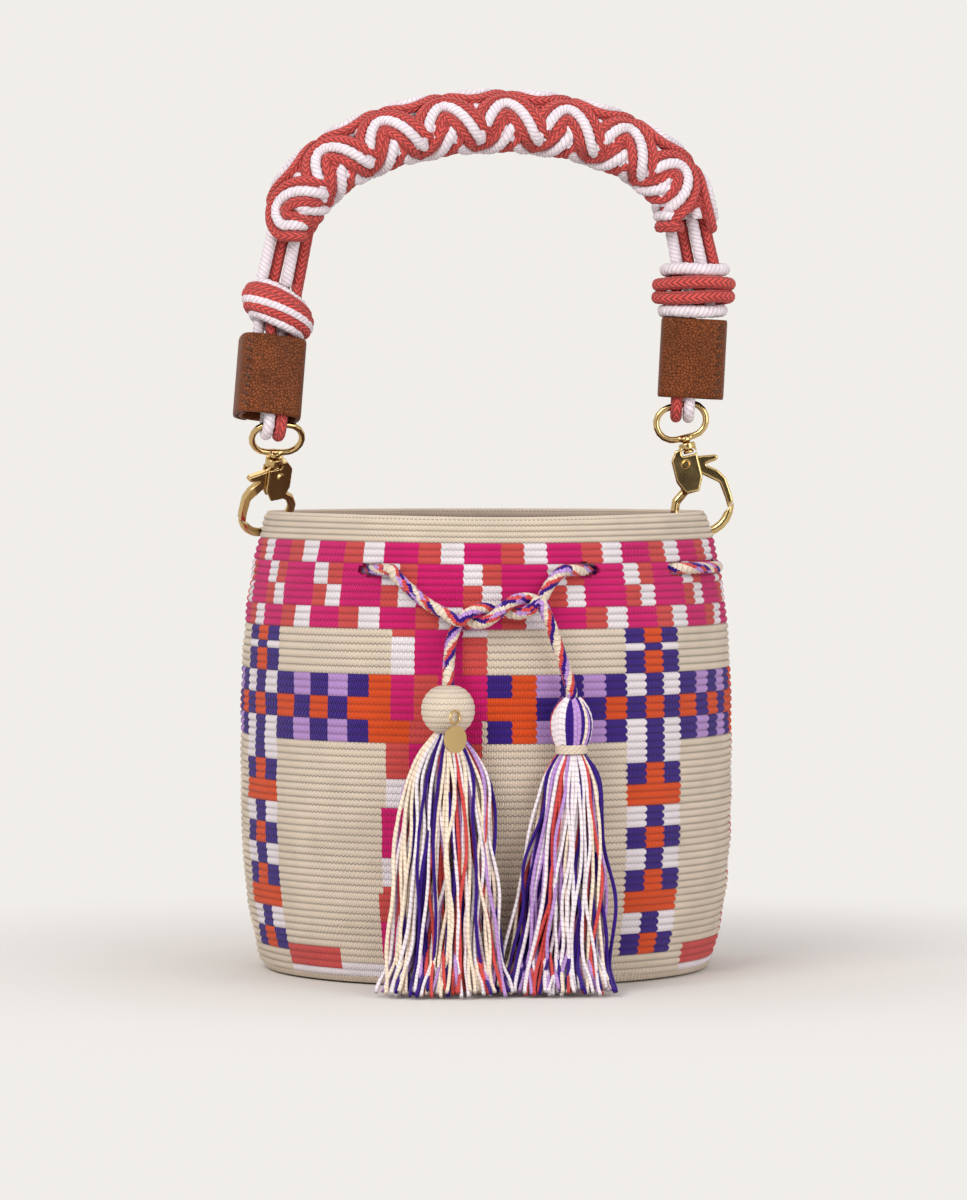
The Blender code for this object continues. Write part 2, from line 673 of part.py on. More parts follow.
def make_hook(side, swivel):
    """Plate, collar and wire in one piece, with the lever's slot, the stem's window and the rivet's hole."""
    name = side.name
    hook = add_mesh(f"{name}_hook", slab(plate_outline(), PLATE_THICKNESS), "gold", swivel)
    pivot = rivet_point()
    _, collar_top, collar_low, head_low = stem_levels()
    wire = add_mesh(f"{name}_hook_wire", sweep(hook_path(), HOOK_WIRE / 2, 10), "gold", swivel)
    fuse(hook, wire)
    collar = add_mesh(f"{name}_collar", cylinder(COLLAR_DIAMETER / 2, collar_low - COLLAR_HEIGHT * 0.4, collar_top),
                      "gold", swivel)
    fuse(hook, collar)
    bore = add_mesh(f"{name}_collar_bore",
                    cylinder(STEM_DIAMETER / 2 + RUNNING_GAP, collar_low - RUNNING_GAP, collar_top + RUNNING_GAP, 12),
                    "gold", swivel)
    cut(hook, bore)
    room = STEM_HEAD / 2 + RUNNING_GAP * 2
    through = PLATE_THICKNESS
    window_low = head_low - RUNNING_GAP * 2
    window = block((-room, -through, window_low), (room, through, collar_low))
    cut(hook, add_mesh(f"{name}_stem_window", window, "gold", swivel))
    slot_half = LEVER_THICKNESS / 2 + RUNNING_GAP
    back = PLATE_OFFSET - PLATE_WIDTH / 2 + PLATE_WALL
    pocket_low = pivot.z - HUB_RADIUS * 2
    pocket = block((back, -slot_half, pocket_low), (CUTTER_REACH, slot_half, window_low + RUNNING_GAP * 2))
    cut(hook, add_mesh(f"{name}_lever_pocket", pocket, "gold", swivel))
    gap = block((PLATE_OFFSET, -slot_half, hook_plate_low() - HOOK_WIRE),
                (CUTTER_REACH, slot_half, pocket_low + RUNNING_GAP))
    cut(hook, add_mesh(f"{name}_lever_gap", gap, "gold", swivel))
    hole = lying_cylinder(RIVET_DIAMETER / 2 + RUNNING_GAP / 2, pivot.x, pivot.z, through, 12)
    cut(hook, add_mesh(f"{name}_rivet_hole", hole, "gold", swivel))
    cut(hook, add_mesh(f"{name}_tip_cutter", tip_cutter(), "gold", swivel))
    return hook


def tip_cutter():
    """A sector round the pivot that ends the hook's wire on the gate's own swing."""
    pivot = rivet_point()
    reach = gate_reach() + RUNNING_GAP / 2
    outline = [(HOOK_RADIUS * 0.4, pivot.z)]
    for i in range(14):
        a = math.radians(-75 + 5 * i)
        outline.append((pivot.x + reach * math.cos(a), pivot.z + reach * math.sin(a)))
    return slab(outline, HOOK_WIRE * 2)


def lever_outline():
    """Thumb tab, hub and gate arm of the trigger, from the values of the plate and the hook."""
    pivot = rivet_point()
    hub = [(pivot.x + HUB_RADIUS * math.cos(math.radians(a)), pivot.z + HUB_RADIUS * math.sin(math.radians(a)))
           for a in range(90, 271, 30)]
    edge = PLATE_OFFSET + PLATE_WIDTH / 2
    tab = EYE_WIDTH / 2 - RUNNING_GAP
    half_arm = LEVER_THICKNESS / 2
    arm = HOOK_RADIUS
    return hub + [
        (pivot.x + HUB_RADIUS * 0.9, pivot.z - HUB_RADIUS * 1.05),
        (edge + HUB_RADIUS * 0.25, pivot.z - HUB_RADIUS * 1.85),
        (arm - half_arm * 1.6, pivot.z - HUB_RADIUS * 3.1),
        (arm - half_arm, HOOK_RADIUS),
        (arm - half_arm, HOOK_RADIUS * 0.4),
        (arm + half_arm * 1.1, HOOK_RADIUS * 0.4),
        (arm + half_arm, HOOK_RADIUS * 1.15),
        (arm + half_arm * 0.6, pivot.z - HUB_RADIUS * 2.7),
        (arm - half_arm * 1.2, pivot.z - HUB_RADIUS * 1.5),
        (edge + HUB_RADIUS * 0.6, pivot.z - HUB_RADIUS * 0.55),
        (tab - half_arm, pivot.z - HUB_RADIUS * 0.42),
        (tab, pivot.z - HUB_RADIUS * 0.1),
        (tab - half_arm * 0.6, pivot.z + HUB_RADIUS * 0.3),
        (edge + HUB_RADIUS * 0.3, pivot.z + HUB_RADIUS * 0.6),
    ]


def make_trigger(side, frame, swivel):
    """The lever, its rivet and the leaf spring behind it."""
    pivot = rivet_point()
    place = frame @ Matrix.Translation(pivot)
    axis = empty(f"{side.name}_trigger_axis", place, swivel)
    back = Matrix.Translation(-pivot)
    lever = add_mesh(f"{side.name}_trigger", slab(lever_outline(), LEVER_THICKNESS), "gold", axis, back)
    swing = lying_cylinder(gate_reach() - RUNNING_GAP / 2, pivot.x, pivot.z, PLATE_THICKNESS, 72)
    fuse(lever, add_mesh(f"{side.name}_gate_swing", swing, "gold", axis, back), "INTERSECT")
    hole = lying_cylinder(RIVET_DIAMETER / 2 + RUNNING_GAP / 2, pivot.x, pivot.z, PLATE_THICKNESS, 12)
    cut(lever, add_mesh(f"{side.name}_hub_hole", hole, "gold", axis, back))
    half = PLATE_THICKNESS / 2 + RUNNING_GAP / 2
    rings = []
    for y, radius in ((-half - RIVET_HEAD * 0.3, RIVET_HEAD * 0.35), (-half, RIVET_HEAD / 2), (-half, RIVET_DIAMETER / 2),
                      (half, RIVET_DIAMETER / 2), (half, RIVET_HEAD / 2), (half + RIVET_HEAD * 0.3, RIVET_HEAD * 0.35)):
        rings.append([Vector((pivot.x + p.x, y, pivot.z + p.y)) for p in circle(radius, 0, 12)])
    add_mesh(f"{side.name}_rivet", loft(rings), "gold", swivel)
    wall = PLATE_OFFSET - PLATE_WIDTH / 2 + PLATE_WALL + RUNNING_GAP / 2
    low, high = pivot.z - HUB_RADIUS * 1.85, pivot.z + HUB_RADIUS * 0.4
    leaf = ((wall, low), (wall + SPRING_LEAF * 5, low + SPRING_LEAF * 2), (wall + SPRING_LEAF * 5, low + SPRING_LEAF * 3),
            (wall + SPRING_LEAF, low + SPRING_LEAF * 1.4), (wall + SPRING_LEAF, high), (wall, high))
    add_mesh(f"{side.name}_trigger_spring", slab(leaf, LEVER_THICKNESS * 0.9), "gold", swivel)


def sleeve_frame(side, frame):
    """Z up the sleeve from the middle of the eye's top bar, X along the bar towards the outside."""
    bar = frame @ Vector((0, 0, CLASP_REACH + (EYE_HEIGHT - EYE_WIRE) / 2))
    forward, inward = side.sleeve_lean
    lean = Matrix.Rotation(math.radians(forward), 3, "X") @ Matrix.Rotation(math.radians(inward), 3, "Y")
    up = lean @ Vector((0, 0, 1))
    outward = frame.to_3x3() @ Vector((1, 0, 0))
    outward = (outward - up * outward.dot(up)).normalized()
    turned_frame = Matrix((outward, up.cross(outward), up)).transposed().to_4x4()
    return Matrix.Translation(bar) @ turned_frame


def loop_radius():
    """Distance from the eye's bar to the middle of the rope that wraps it."""
    return EYE_WIRE / 2 + ROPE_DIAMETER / 2 + RUNNING_GAP * 3


def sleeve_low(frame, place):
    """Height of the sleeve's lower edge, which clears the eye however the two lean."""
    seen_from_sleeve = place.inverted() @ frame
    eye_top = max((seen_from_sleeve @ point).z for point in eye_path())
    return eye_top + EYE_WIRE / 2 + RUNNING_GAP * 2


def loop_offset():
    """How far the rope loops sit towards the outer end of the eye."""
    return ROPE_DIAMETER / 2 - RUNNING_GAP / 3


def sleeve_shift():
    return loop_offset() + ROPE_DIAMETER * 0.4


def bar_height(frame, place, x):
    """Height of the eye's bar in the sleeve's frame, this far out from its middle."""
    bar = place.to_3x3().inverted() @ (frame.to_3x3() @ Vector((1, 0, 0)))
    radius = (EYE_HEIGHT - EYE_WIRE) / 2
    past = max(0.0, x - (EYE_WIDTH - EYE_HEIGHT) / 2)
    return x * bar.z / bar.x - radius + math.sqrt(radius**2 - past**2)


def make_rope_loops(side, frame, place, handle):
    """Two ropes side by side that come down the sleeve, wrap the eye's bar and go back up."""
    radius = loop_radius()
    top = side.sleeve_low + SLEEVE_HEIGHT
    for number, step in ((1, -0.5), (2, 0.5)):
        x = loop_offset() + step * (ROPE_DIAMETER + RUNNING_GAP)
        low = bar_height(frame, place, x)
        points = [Vector((x, -radius, top * share)) for share in (1, 0.5)]
        points += [Vector((x, radius * -math.cos(math.radians(a)), low - radius * math.sin(math.radians(a))))
                   for a in range(0, 181, 30)]
        points += [Vector((x, radius, top * share)) for share in (0.5, 1)]
        colour = "coral_rope" if number == 1 else "white_rope"
        rope = cord(f"{side.name}_rope_loop_{number}", points, colour, handle, ROPE_DIAMETER)
        rope.matrix_world = place


def squared(value):
    """Fills an ellipse out towards a rounded rectangle."""
    return math.copysign(abs(value) ** SLEEVE_ROUNDNESS, value)


def sheet_point(side, turns, layer):
    """A point of the rolled section, this many turns from its start; layer is 0 inside and 1 outside."""
    a = 2 * math.pi * turns + math.radians(SHEET_START)
    lift = (LEATHER + RUNNING_GAP) * min(1, max(0, (turns - 0.8) / 0.18))
    reach = lift + LEATHER * layer - LEATHER
    x = squared(math.cos(a)) * (SLEEVE_WIDTH / 2 + reach)
    y = squared(math.sin(a)) * (SLEEVE_DEPTH / 2 + reach) * side.sign
    return Vector((x + sleeve_shift(), y, 0))


def rolled_sheet(side):
    """The leather's section: once round an oval, then on over its own start by the overlap."""
    steps = 28
    extra = round(steps * SLEEVE_OVERLAP / (SLEEVE_WIDTH + SLEEVE_DEPTH) / 1.6)
    turns = [i / steps for i in range(steps + extra + 1)]
    inner = [sheet_point(side, t, 0) for t in turns]
    outer = [sheet_point(side, t, 1) for t in turns]
    return inner[::-1] + outer


def make_sleeve(side, place, handle):
    """The rolled leather, and the row of thread along its outer edge."""
    low = side.sleeve_low
    section = rolled_sheet(side)
    rings = [[p + Vector((0, 0, z)) for p in section] for z in (low, low + SLEEVE_HEIGHT)]
    sleeve = add_mesh(f"{side.name}_leather_sleeve", loft(rings), "brown_leather", handle)
    sleeve.matrix_world = place
    inside, surface = sheet_point(side, SEAM_TURN, 0), sheet_point(side, SEAM_TURN, 1)
    seam = surface + (surface - inside).normalized() * (STITCH_THREAD / 2 + RUNNING_GAP)
    points = []
    waves = 8
    for i in range(2 * waves + 1):
        z = low + STITCH_INSET + (SLEEVE_HEIGHT - 2 * STITCH_INSET) * i / (2 * waves)
        wave = (seam - inside).normalized() * STITCH_THREAD * 0.3 * (i % 2)
        points.append(seam + wave + Vector((0, 0, z)))
    thread = cord(f"{side.name}_sleeve_stitching", points, "tan_thread", handle, STITCH_THREAD, 1)
    thread.matrix_world = place


def knot_frame(side, place):
    """Z up from the middle of the stopper knot's underside."""
    return place @ Matrix.Translation((sleeve_shift(), 0, side.sleeve_low + SLEEVE_HEIGHT + RUNNING_GAP))


def make_stopper_knot(side, place, handle):
    """A wound knot: stacked turns that are slanted inside a flat top and bottom."""
    half_w, height = side.knot_width / 2, side.knot_height
    levels = 4 * KNOT_TURNS
    slant = math.tan(math.radians(side.knot_slant)) * side.sign * -1
    rings = []
    for i in range(levels + 1):
        share = i / levels
        swell = math.sqrt(max(0.0, 1 - (2 * share - 1) ** 2 * 0.72))
        turn = KNOT_TURN_RELIEF * abs(math.sin(math.pi * KNOT_TURNS * share)) - KNOT_TURN_RELIEF
        ring = oval(Vector((0, 0, height * share)), Vector((half_w * swell + turn, 0, 0)),
                    Vector((0, half_w * 0.8 * swell + turn, 0)), 18)
        middle = 4 * share * (1 - share)
        rings.append([Vector((p.x, p.y, p.z + p.x * slant * 0.5 * middle)) for p in ring])
    knot = add_mesh(f"{side.name}_stopper_knot", loft(rings), "coral_rope", handle)
    knot.matrix_world = knot_frame(side, place)


def knot_top(side, place):
    return knot_frame(side, place) @ Vector((0, 0, side.knot_height))


def arch_end(side, place):
    """Where the knotted arch starts, above the stopper knot along its own lean."""
    top = knot_top(side, place)
    inward = Vector((-side.sign * math.sin(math.radians(12)), 0, math.cos(math.radians(12))))
    return top + inward * side.stretch


def arch_points(left_end, right_end, count):
    """A half ellipse between both ends, as (point, tangent) pairs at even steps of length."""
    fine = []
    for i in range(241):
        a = math.pi * i / 240
        point = left_end.lerp(right_end, (1 - math.cos(a)) / 2) + Vector((0, 0, ARCH_RISE * math.sin(a)))
        fine.append(point)
    lengths = [0.0]
    for a, b in zip(fine, fine[1:]):
        lengths.append(lengths[-1] + (b - a).length)
    pairs = []
    for k in range(count + 1):
        wanted = lengths[-1] * k / count
        i = min(len(fine) - 2, max(j for j, done in enumerate(lengths) if done <= wanted + 1e-12))
        share = (wanted - lengths[i]) / (lengths[i + 1] - lengths[i])
        pairs.append((fine[i].lerp(fine[i + 1], share), (fine[i + 1] - fine[i]).normalized()))
    return pairs, lengths[-1]


def make_sinnet(left_end, right_end, handle):
    """The square-knot band: one swelling for each half knot, alternately fuller at its near and far edge."""
    _, length = arch_points(left_end, right_end, 1)
    knots = round(length / KNOT_PITCH)
    pairs, _ = arch_points(left_end, right_end, knots * SLICES_PER_KNOT)
    tilt = math.radians(SINNET_TILT)
    rings = []
    for i, (point, tangent) in enumerate(pairs):
        back = (Vector((0, 1, 0)) - tangent * tangent.y).normalized()
        out = tangent.cross(back).normalized()
        across = back * math.cos(tilt) + out * math.sin(tilt)
        thick = out * math.cos(tilt) - back * math.sin(tilt)
        phase = math.pi * i / SLICES_PER_KNOT
        swell = abs(math.sin(phase))
        lift = SINNET_RELIEF * math.sin(phase)
        half_w = SINNET_WIDTH / 2 * (1 - SINNET_NARROWING * (1 - swell))
        half_t = SINNET_THICKNESS / 2 * (1 - SINNET_THINNING * (1 - swell))
        ring = oval(point, across * half_w, thick * half_t, SINNET_SIDES)
        rings.append([p + thick * lift * ((p - point).dot(across) / half_w) for p in ring])
    sinnet = add_mesh("handle_sinnet", loft(rings), "coral_rope", handle)
    sinnet.matrix_world = Matrix()


def make_core_ropes(side, place, end, handle):
    """Four straight ropes from the stopper knot up to the knotted arch."""
    top = knot_frame(side, place) @ Matrix.Translation((0, 0, side.knot_height))
    along = (end - top.translation).normalized()
    for number in range(4):
        across = (number - 1.5) * ROPE_ROW_PITCH
        back = ROPE_ZIGZAG * (1 if number % 2 else -1)
        foot = top @ Vector((side.sign * across, side.sign * back, 0)) + along * ROPE_END_INSET
        head = end + Vector((across * 0.9, back * 1.2, 0)) - along * ROPE_END_INSET
        points = [foot.lerp(head, i / 3) for i in range(4)]
        colour = "coral_rope" if number % 2 else "white_rope"
        rope = cord(f"{side.name}_core_rope_{number + 1}", points, colour, handle, ROPE_DIAMETER)
        rope.matrix_world = Matrix()


def make_handle(root):
    """Both clasps, sleeves and knots, and the arch between them, on the axis through the two hook holes."""
    swing = empty("handle_swing_axis", Matrix.Translation((0, 0, HOOK_HOLE_HEIGHT)), root)
    places = {}
    for side in (LEFT, RIGHT):
        frame, eye_frame = clasp_frame(side, side.hook_turn), clasp_frame(side, side.eye_turn)
        swivel = empty(f"{side.name}_swivel_axis", frame, swing)
        place = sleeve_frame(side, eye_frame)
        side.sleeve_low = sleeve_low(eye_frame, place)
        places[side.name] = place
        make_eye(side, eye_frame, swing)
        make_hook(side, swivel)
        make_trigger(side, frame, swivel)
        make_rope_loops(side, eye_frame, place, swing)
        make_sleeve(side, place, swing)
        make_stopper_knot(side, place, swing)
    ends = {side.name: arch_end(side, places[side.name]) for side in (LEFT, RIGHT)}
    make_sinnet(ends["left"], ends["right"], swing)
    for side in (LEFT, RIGHT):
        make_core_ropes(side, places[side.name], ends[side.name], swing)


def main():
    clear_scene()
    root = empty("bag", Matrix())
    make_body(root)
    make_drawstring(root)
    make_left_tassel(root)
    make_right_tassel(root)
    make_handle(root)


main()
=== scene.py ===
"""Looks of a round crocheted bucket bag: crochet, cord, tassels, knotted rope handle and gilt clasps.

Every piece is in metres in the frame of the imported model, with the bag standing on Z = 0 and its front
towards -Y.
"""

import math
import random

import bpy
import numpy as np
from bpy.props import FloatProperty, FloatVectorProperty, IntProperty, PointerProperty
from mathutils import Matrix, Vector


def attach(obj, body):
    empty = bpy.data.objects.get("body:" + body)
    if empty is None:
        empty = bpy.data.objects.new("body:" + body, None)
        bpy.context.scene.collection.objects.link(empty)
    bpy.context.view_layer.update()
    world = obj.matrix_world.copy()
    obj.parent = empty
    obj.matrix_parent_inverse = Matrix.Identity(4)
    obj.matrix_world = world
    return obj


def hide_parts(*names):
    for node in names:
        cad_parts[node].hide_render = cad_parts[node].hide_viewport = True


bl_info = {
    "name": "Crocheted bucket bag",
    "version": (1, 0, 0),
    "blender": (4, 5, 0),
    "location": "3D View > Sidebar > Bucket bag",
    "description": "Builds the crochet, cord, tassels and knotted handle of a bucket bag",
    "category": "Add Mesh",
}

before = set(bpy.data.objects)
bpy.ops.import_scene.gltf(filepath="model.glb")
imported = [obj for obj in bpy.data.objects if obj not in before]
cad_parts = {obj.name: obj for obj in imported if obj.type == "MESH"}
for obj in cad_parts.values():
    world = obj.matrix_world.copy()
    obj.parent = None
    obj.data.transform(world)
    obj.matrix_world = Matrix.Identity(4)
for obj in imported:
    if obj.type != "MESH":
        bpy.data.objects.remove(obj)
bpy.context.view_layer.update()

# Body of the bag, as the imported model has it
BODY_HEIGHT = 0.1948
BASE_RADIUS = 0.0963
BELLY_RADIUS = 0.1058
BELLY_HEIGHT = 0.0900
MOUTH_RADIUS = 0.0950
WALL = 0.0032
CORNER = 0.0030
RIM_DIP = 0.0016
DIP_START = 0.15
BASE_GRID = (216, 24)
BASE_INSET = 0.0006
BASE_FLOOR = 0.0036

# Rows of crochet from the rim down, as (count, height where the zone ends)
ROW_ZONES = ((4, 0.1846), (12, 0.1482), (6, 0.1295), (9, 0.1012), (33, 0.0030))
RIM_ROWS = 4
BAND_ROWS = 16
WALL_TOP_ROW = 16
PLAID_TOP_ROW = 22
PLAID_END_ROW = 31
ALL_ROWS = 64
UPPER_WALL_END = 40
INSIDE_SPLIT = 32
PATTERN_STITCHES = 324

# Check band: rows in a block, stitches in one repeat, its start, and where its colours end
BLOCK_ROWS = 3
BAND_REPEAT = 18
BAND_START = 3
BAND_ENDS = (5, 10, 14)

# Marks at the foot of the wall: rows, start and length, once in each repeat round the bag
FOOT_REPEAT = 108
CORAL_FOOT = (4, -58, 24)
WHITE_FOOT = (2, -34, 20)

NATURAL, MAGENTA, CORAL, WHITE, PURPLE, ORANGE, LILAC = range(7)

# Distances between the points along a rope or strand
RUN_SPACING = 0.0012
LACE_SPACING = 0.0010
STRAND_SPACING = 0.0024
HEAD_SPACING = 0.0009
SINNET_SPACING = 0.0018
ARC_SPACING = 0.0011
LOOP_SPACING = 0.0012

# Upright stripes from the wall's top row down: (rows, colour) for each sub-column
MAGENTA_STRIPE = (
    ((1, CORAL), (5, WHITE), (6, MAGENTA), (3, ORANGE), (5, CORAL), (4, WHITE), (7, MAGENTA), (4, WHITE),
     (5, CORAL), (6, MAGENTA)),
    ((6, MAGENTA), (9, CORAL), (9, MAGENTA), (7, CORAL), (9, MAGENTA), (6, WHITE)),
    ((12, MAGENTA), (3, CORAL), (9, MAGENTA), (5, WHITE), (9, MAGENTA), (8, CORAL)),
    ((1, WHITE), (5, CORAL), (9, MAGENTA), (5, CORAL), (4, WHITE), (7, MAGENTA), (4, WHITE), (5, CORAL),
     (6, MAGENTA)),
)
OUTER_PURPLE = (
    (2, PURPLE), (1, WHITE), (3, PURPLE), (3, WHITE), (3, PURPLE), (6, WHITE), (3, PURPLE), (3, ORANGE),
    (3, WHITE), (3, PURPLE), (3, WHITE), (3, PURPLE), (3, ORANGE), (3, WHITE), (3, PURPLE),
)
MIDDLE_PURPLE = (
    (2, ORANGE), (1, PURPLE), (3, ORANGE), (3, PURPLE), (3, ORANGE), (6, PURPLE), (6, ORANGE), (3, PURPLE),
    (3, ORANGE), (3, PURPLE), (6, ORANGE), (3, PURPLE), (3, ORANGE),
)
PURPLE_STRIPE = (OUTER_PURPLE, MIDDLE_PURPLE, OUTER_PURPLE)

# Stripes round the bag, as (first stitch, last stitch, sub-columns, stitches that it slants by on its way
# down), counted from the front towards +X
STRIPES = (
    (-129, -109, MAGENTA_STRIPE, 1.0),
    (-66, -51, PURPLE_STRIPE, 0.0),
    (-20, 0, MAGENTA_STRIPE, 4.0),
    (30, 45, PURPLE_STRIPE, 1.0),
    (76, 96, MAGENTA_STRIPE, 1.0),
    (138, 153, PURPLE_STRIPE, 0.0),
)
PLAID_BLOCK = 5.2

# Drawstring: points of the run through the wall and of both free ends
CORD_HEIGHT = 0.1725
RUN_ROUTE = (
    (0.0343, -0.0977), (0.0377, -0.0949), (0.0402, -0.0902), (0.0423, -0.0855), (0.0450, -0.0825),
    (0.0542, -0.0768), (0.0626, -0.0701), (0.0702, -0.0624), (0.0738, -0.0604), (0.0789, -0.0594),
    (0.0840, -0.0581), (0.0875, -0.0554), (0.0934, -0.0446), (0.0981, -0.0331), (0.0980, -0.0287),
    (0.0958, -0.0239), (0.0934, -0.0193), (0.0927, -0.0153), (0.0939, -0.0040), (0.0937, 0.0073),
    (0.0921, 0.0185), (0.0927, 0.0226), (0.0949, 0.0272), (0.0970, 0.0321), (0.0969, 0.0365),
    (0.0914, 0.0486), (0.0844, 0.0599), (0.0808, 0.0624), (0.0756, 0.0635), (0.0705, 0.0642),
    (0.0669, 0.0660), (0.0584, 0.0736), (0.0492, 0.0801), (0.0392, 0.0854), (0.0362, 0.0882),
    (0.0338, 0.0928), (0.0310, 0.0973), (0.0274, 0.0998), (0.0144, 0.1025), (0.0012, 0.1035),
    (-0.0030, 0.1021), (-0.0069, 0.0985), (-0.0105, 0.0948), (-0.0141, 0.0929), (-0.0252, 0.0905),
    (-0.0359, 0.0868), (-0.0461, 0.0819), (-0.0501, 0.0812), (-0.0552, 0.0819), (-0.0605, 0.0823),
    (-0.0647, 0.0809), (-0.0745, 0.0719), (-0.0831, 0.0618), (-0.0843, 0.0576), (-0.0837, 0.0523),
    (-0.0829, 0.0472), (-0.0835, 0.0432), (-0.0878, 0.0334), (-0.0910, 0.0232), (-0.0931, 0.0128),
    (-0.0939, 0.0021), (-0.0936, -0.0086), (-0.0920, -0.0191), (-0.0892, -0.0294), (-0.0853, -0.0394),
    (-0.0803, -0.0488), (-0.0742, -0.0576), (-0.0672, -0.0657), (-0.0593, -0.0729), (-0.0507, -0.0791),
    (-0.0481, -0.0823), (-0.0464, -0.0872), (-0.0443, -0.0920), (-0.0410, -0.0950),
)
RIGHT_END_ROUTE = (
    (0.0341, -0.0979, 0.1725), (0.0318, -0.0998, 0.1725), (0.0295, -0.1003, 0.1706),
    (0.0258, -0.1026, 0.1662), (0.0220, -0.1068, 0.1600), (0.0189, -0.1072, 0.1608),
    (0.0159, -0.1083, 0.1612), (0.0130, -0.1098, 0.1609), (0.0104, -0.1113, 0.1599),
    (0.0079, -0.1124, 0.1581), (0.0055, -0.1128, 0.1560), (0.0031, -0.1124, 0.1539),
    (0.0006, -0.1113, 0.1521), (-0.0020, -0.1098, 0.1511), (-0.0049, -0.1083, 0.1508),
    (-0.0079, -0.1072, 0.1512), (-0.0110, -0.1068, 0.1520), (-0.0142, -0.1072, 0.1440),
    (-0.0152, -0.1118, 0.1360), (-0.0156, -0.1160, 0.1290), (-0.0156, -0.1160, 0.1265),
    (-0.0156, -0.1160, 0.1080), (-0.0156, -0.1160, 0.0900),
)
LEFT_END_ROUTE = (
    (-0.0408, -0.0953, 0.1725), (-0.0386, -0.0973, 0.1725), (-0.0369, -0.0978, 0.1700),
    (-0.0312, -0.1003, 0.1646), (-0.0246, -0.1040, 0.1592), (-0.0182, -0.1092, 0.1556),
    (-0.0110, -0.1128, 0.1520), (-0.0086, -0.1124, 0.1541), (-0.0061, -0.1113, 0.1559),
    (-0.0035, -0.1098, 0.1569), (-0.0006, -0.1083, 0.1572), (0.0024, -0.1072, 0.1568),
    (0.0055, -0.1068, 0.1560), (0.0086, -0.1072, 0.1552), (0.0116, -0.1083, 0.1548),
    (0.0145, -0.1098, 0.1551), (0.0171, -0.1113, 0.1561), (0.0196, -0.1124, 0.1579),
    (0.0220, -0.1128, 0.1600), (0.0262, -0.1120, 0.1510), (0.0297, -0.1105, 0.1405),
    (0.0332, -0.1098, 0.1300), (0.0349, -0.1100, 0.1235), (0.0349, -0.1100, 0.1210),
    (0.0349, -0.1100, 0.1050), (0.0349, -0.1100, 0.0900),
)

# Handle: the frames of its pieces, as (place, X axis, Y axis, Z axis)
LEFT_SLEEVE = ((-0.08787, -0.03090, 0.23281), (-0.9731, -0.2013, 0.1124), (0.2197, -0.9573, 0.1878),
               (0.0698, 0.2074, 0.9758))
RIGHT_SLEEVE = ((0.08214, 0.0, 0.24114), (0.9986, 0.0, -0.0523), (0.0, 1.0, 0.0), (0.0523, 0.0, 0.9986))
LEFT_KNOT = ((-0.08959, -0.02416, 0.26918), *LEFT_SLEEVE[1:])
RIGHT_KNOT = ((0.08851, 0.0, 0.27863), *RIGHT_SLEEVE[1:])
LEFT_ARCH_END = (-0.0831, -0.0190, 0.3161)
RIGHT_ARCH_END = (0.0858, 0.0, 0.3210)
ARCH_RISE = 0.0440
ARCH_TILT = 30
KNOT_PITCH = 0.0150
SLEEVE_SHIFT = 0.0044
SLEEVE_LOWS = {"left": 0.0024662, "right": 0.0034739}
SLEEVE_SIZE = (0.0262, 0.0190, 0.0340)
SLEEVE_START = -25
LEATHER = 0.0018
SHEET_GAP = 0.0003
SIGNS = {"left": -1, "right": 1}
KNOT_SIZES = {"left": (0.0320, 0.0250), "right": (0.0366, 0.0238)}
ROPE_ROW_PITCH = 0.0054
ROPE_ZIGZAG = 0.0016
BAND_HALF = (0.0114, 0.0076)
WRAP_ANGLE = 78
KNOT_EASE = 1.25
KNOT_LIFT = 0.0007
STRAND_OFFSET = 0.0026
STEPS_PER_KNOT = 28
ARCS_PER_EDGE = 8
ARC_RISE = 66
ARC_SPAN = 1.32
ARC_SINK = 0.0058
ARC_LIFT = 0.0027
ARC_SIDE = -1
ARC_SWELL = 1.32
ARC_STEPS = 40
ARC_ROPES = ((0.0024, 0.0, 0), (-0.0022, 0.0006, 1), (-0.0062, -0.0016, 0))

# Ropes as they are laid: coral braid and white plies, in the arch, in the cores and knots, and in the loops
ARCH_LAYS = ({"sides": 8, "plies": 4, "pitch": 0.024, "depth": 0.07},
             {"sides": 12, "plies": 3, "pitch": 0.0096, "depth": 0.30})
CORE_LAYS = ({"sides": 14, "plies": 4, "pitch": 0.02, "depth": 0.06},
             {"sides": 14, "plies": 3, "pitch": 0.011, "depth": 0.24})
KNOT_LAYS = ({"sides": 14, "plies": 4, "pitch": 0.02, "depth": 0.06},
             {"sides": 14, "plies": 3, "pitch": 0.011, "depth": 0.22})
LOOP_LAYS = ({"sides": 14, "plies": 4, "pitch": 0.011, "depth": 0.06},
             {"sides": 14, "plies": 3, "pitch": 0.011, "depth": 0.2})
HIDDEN_LAY = {"sides": 10, "plies": 3, "pitch": 0.011, "depth": 0.2}
CORE_COLOURS = (1, 0, 1, 0)
CORE_STEPS = 24
ARCH_CORE_PITCH = 0.0048
LOOP_RADIUS = 0.0049
LOOP_SHIFT = 0.0024
LOOP_PITCH = 0.0053

# Stopper knots: colours of the turns from below, how much they slant, and the rope's thickness in them
KNOT_TURNS = {"left": (1, 0, 1, 0, 0, 1), "right": (1, 0, 0, 1)}
KNOT_SLANTS = {"left": -0.378, "right": 0.06}
KNOT_THICKNESS = {"left": 1.0, "right": 1.1}
LEFT_KNOT_ROOM = 0.0025
TURN_STEPS = 72

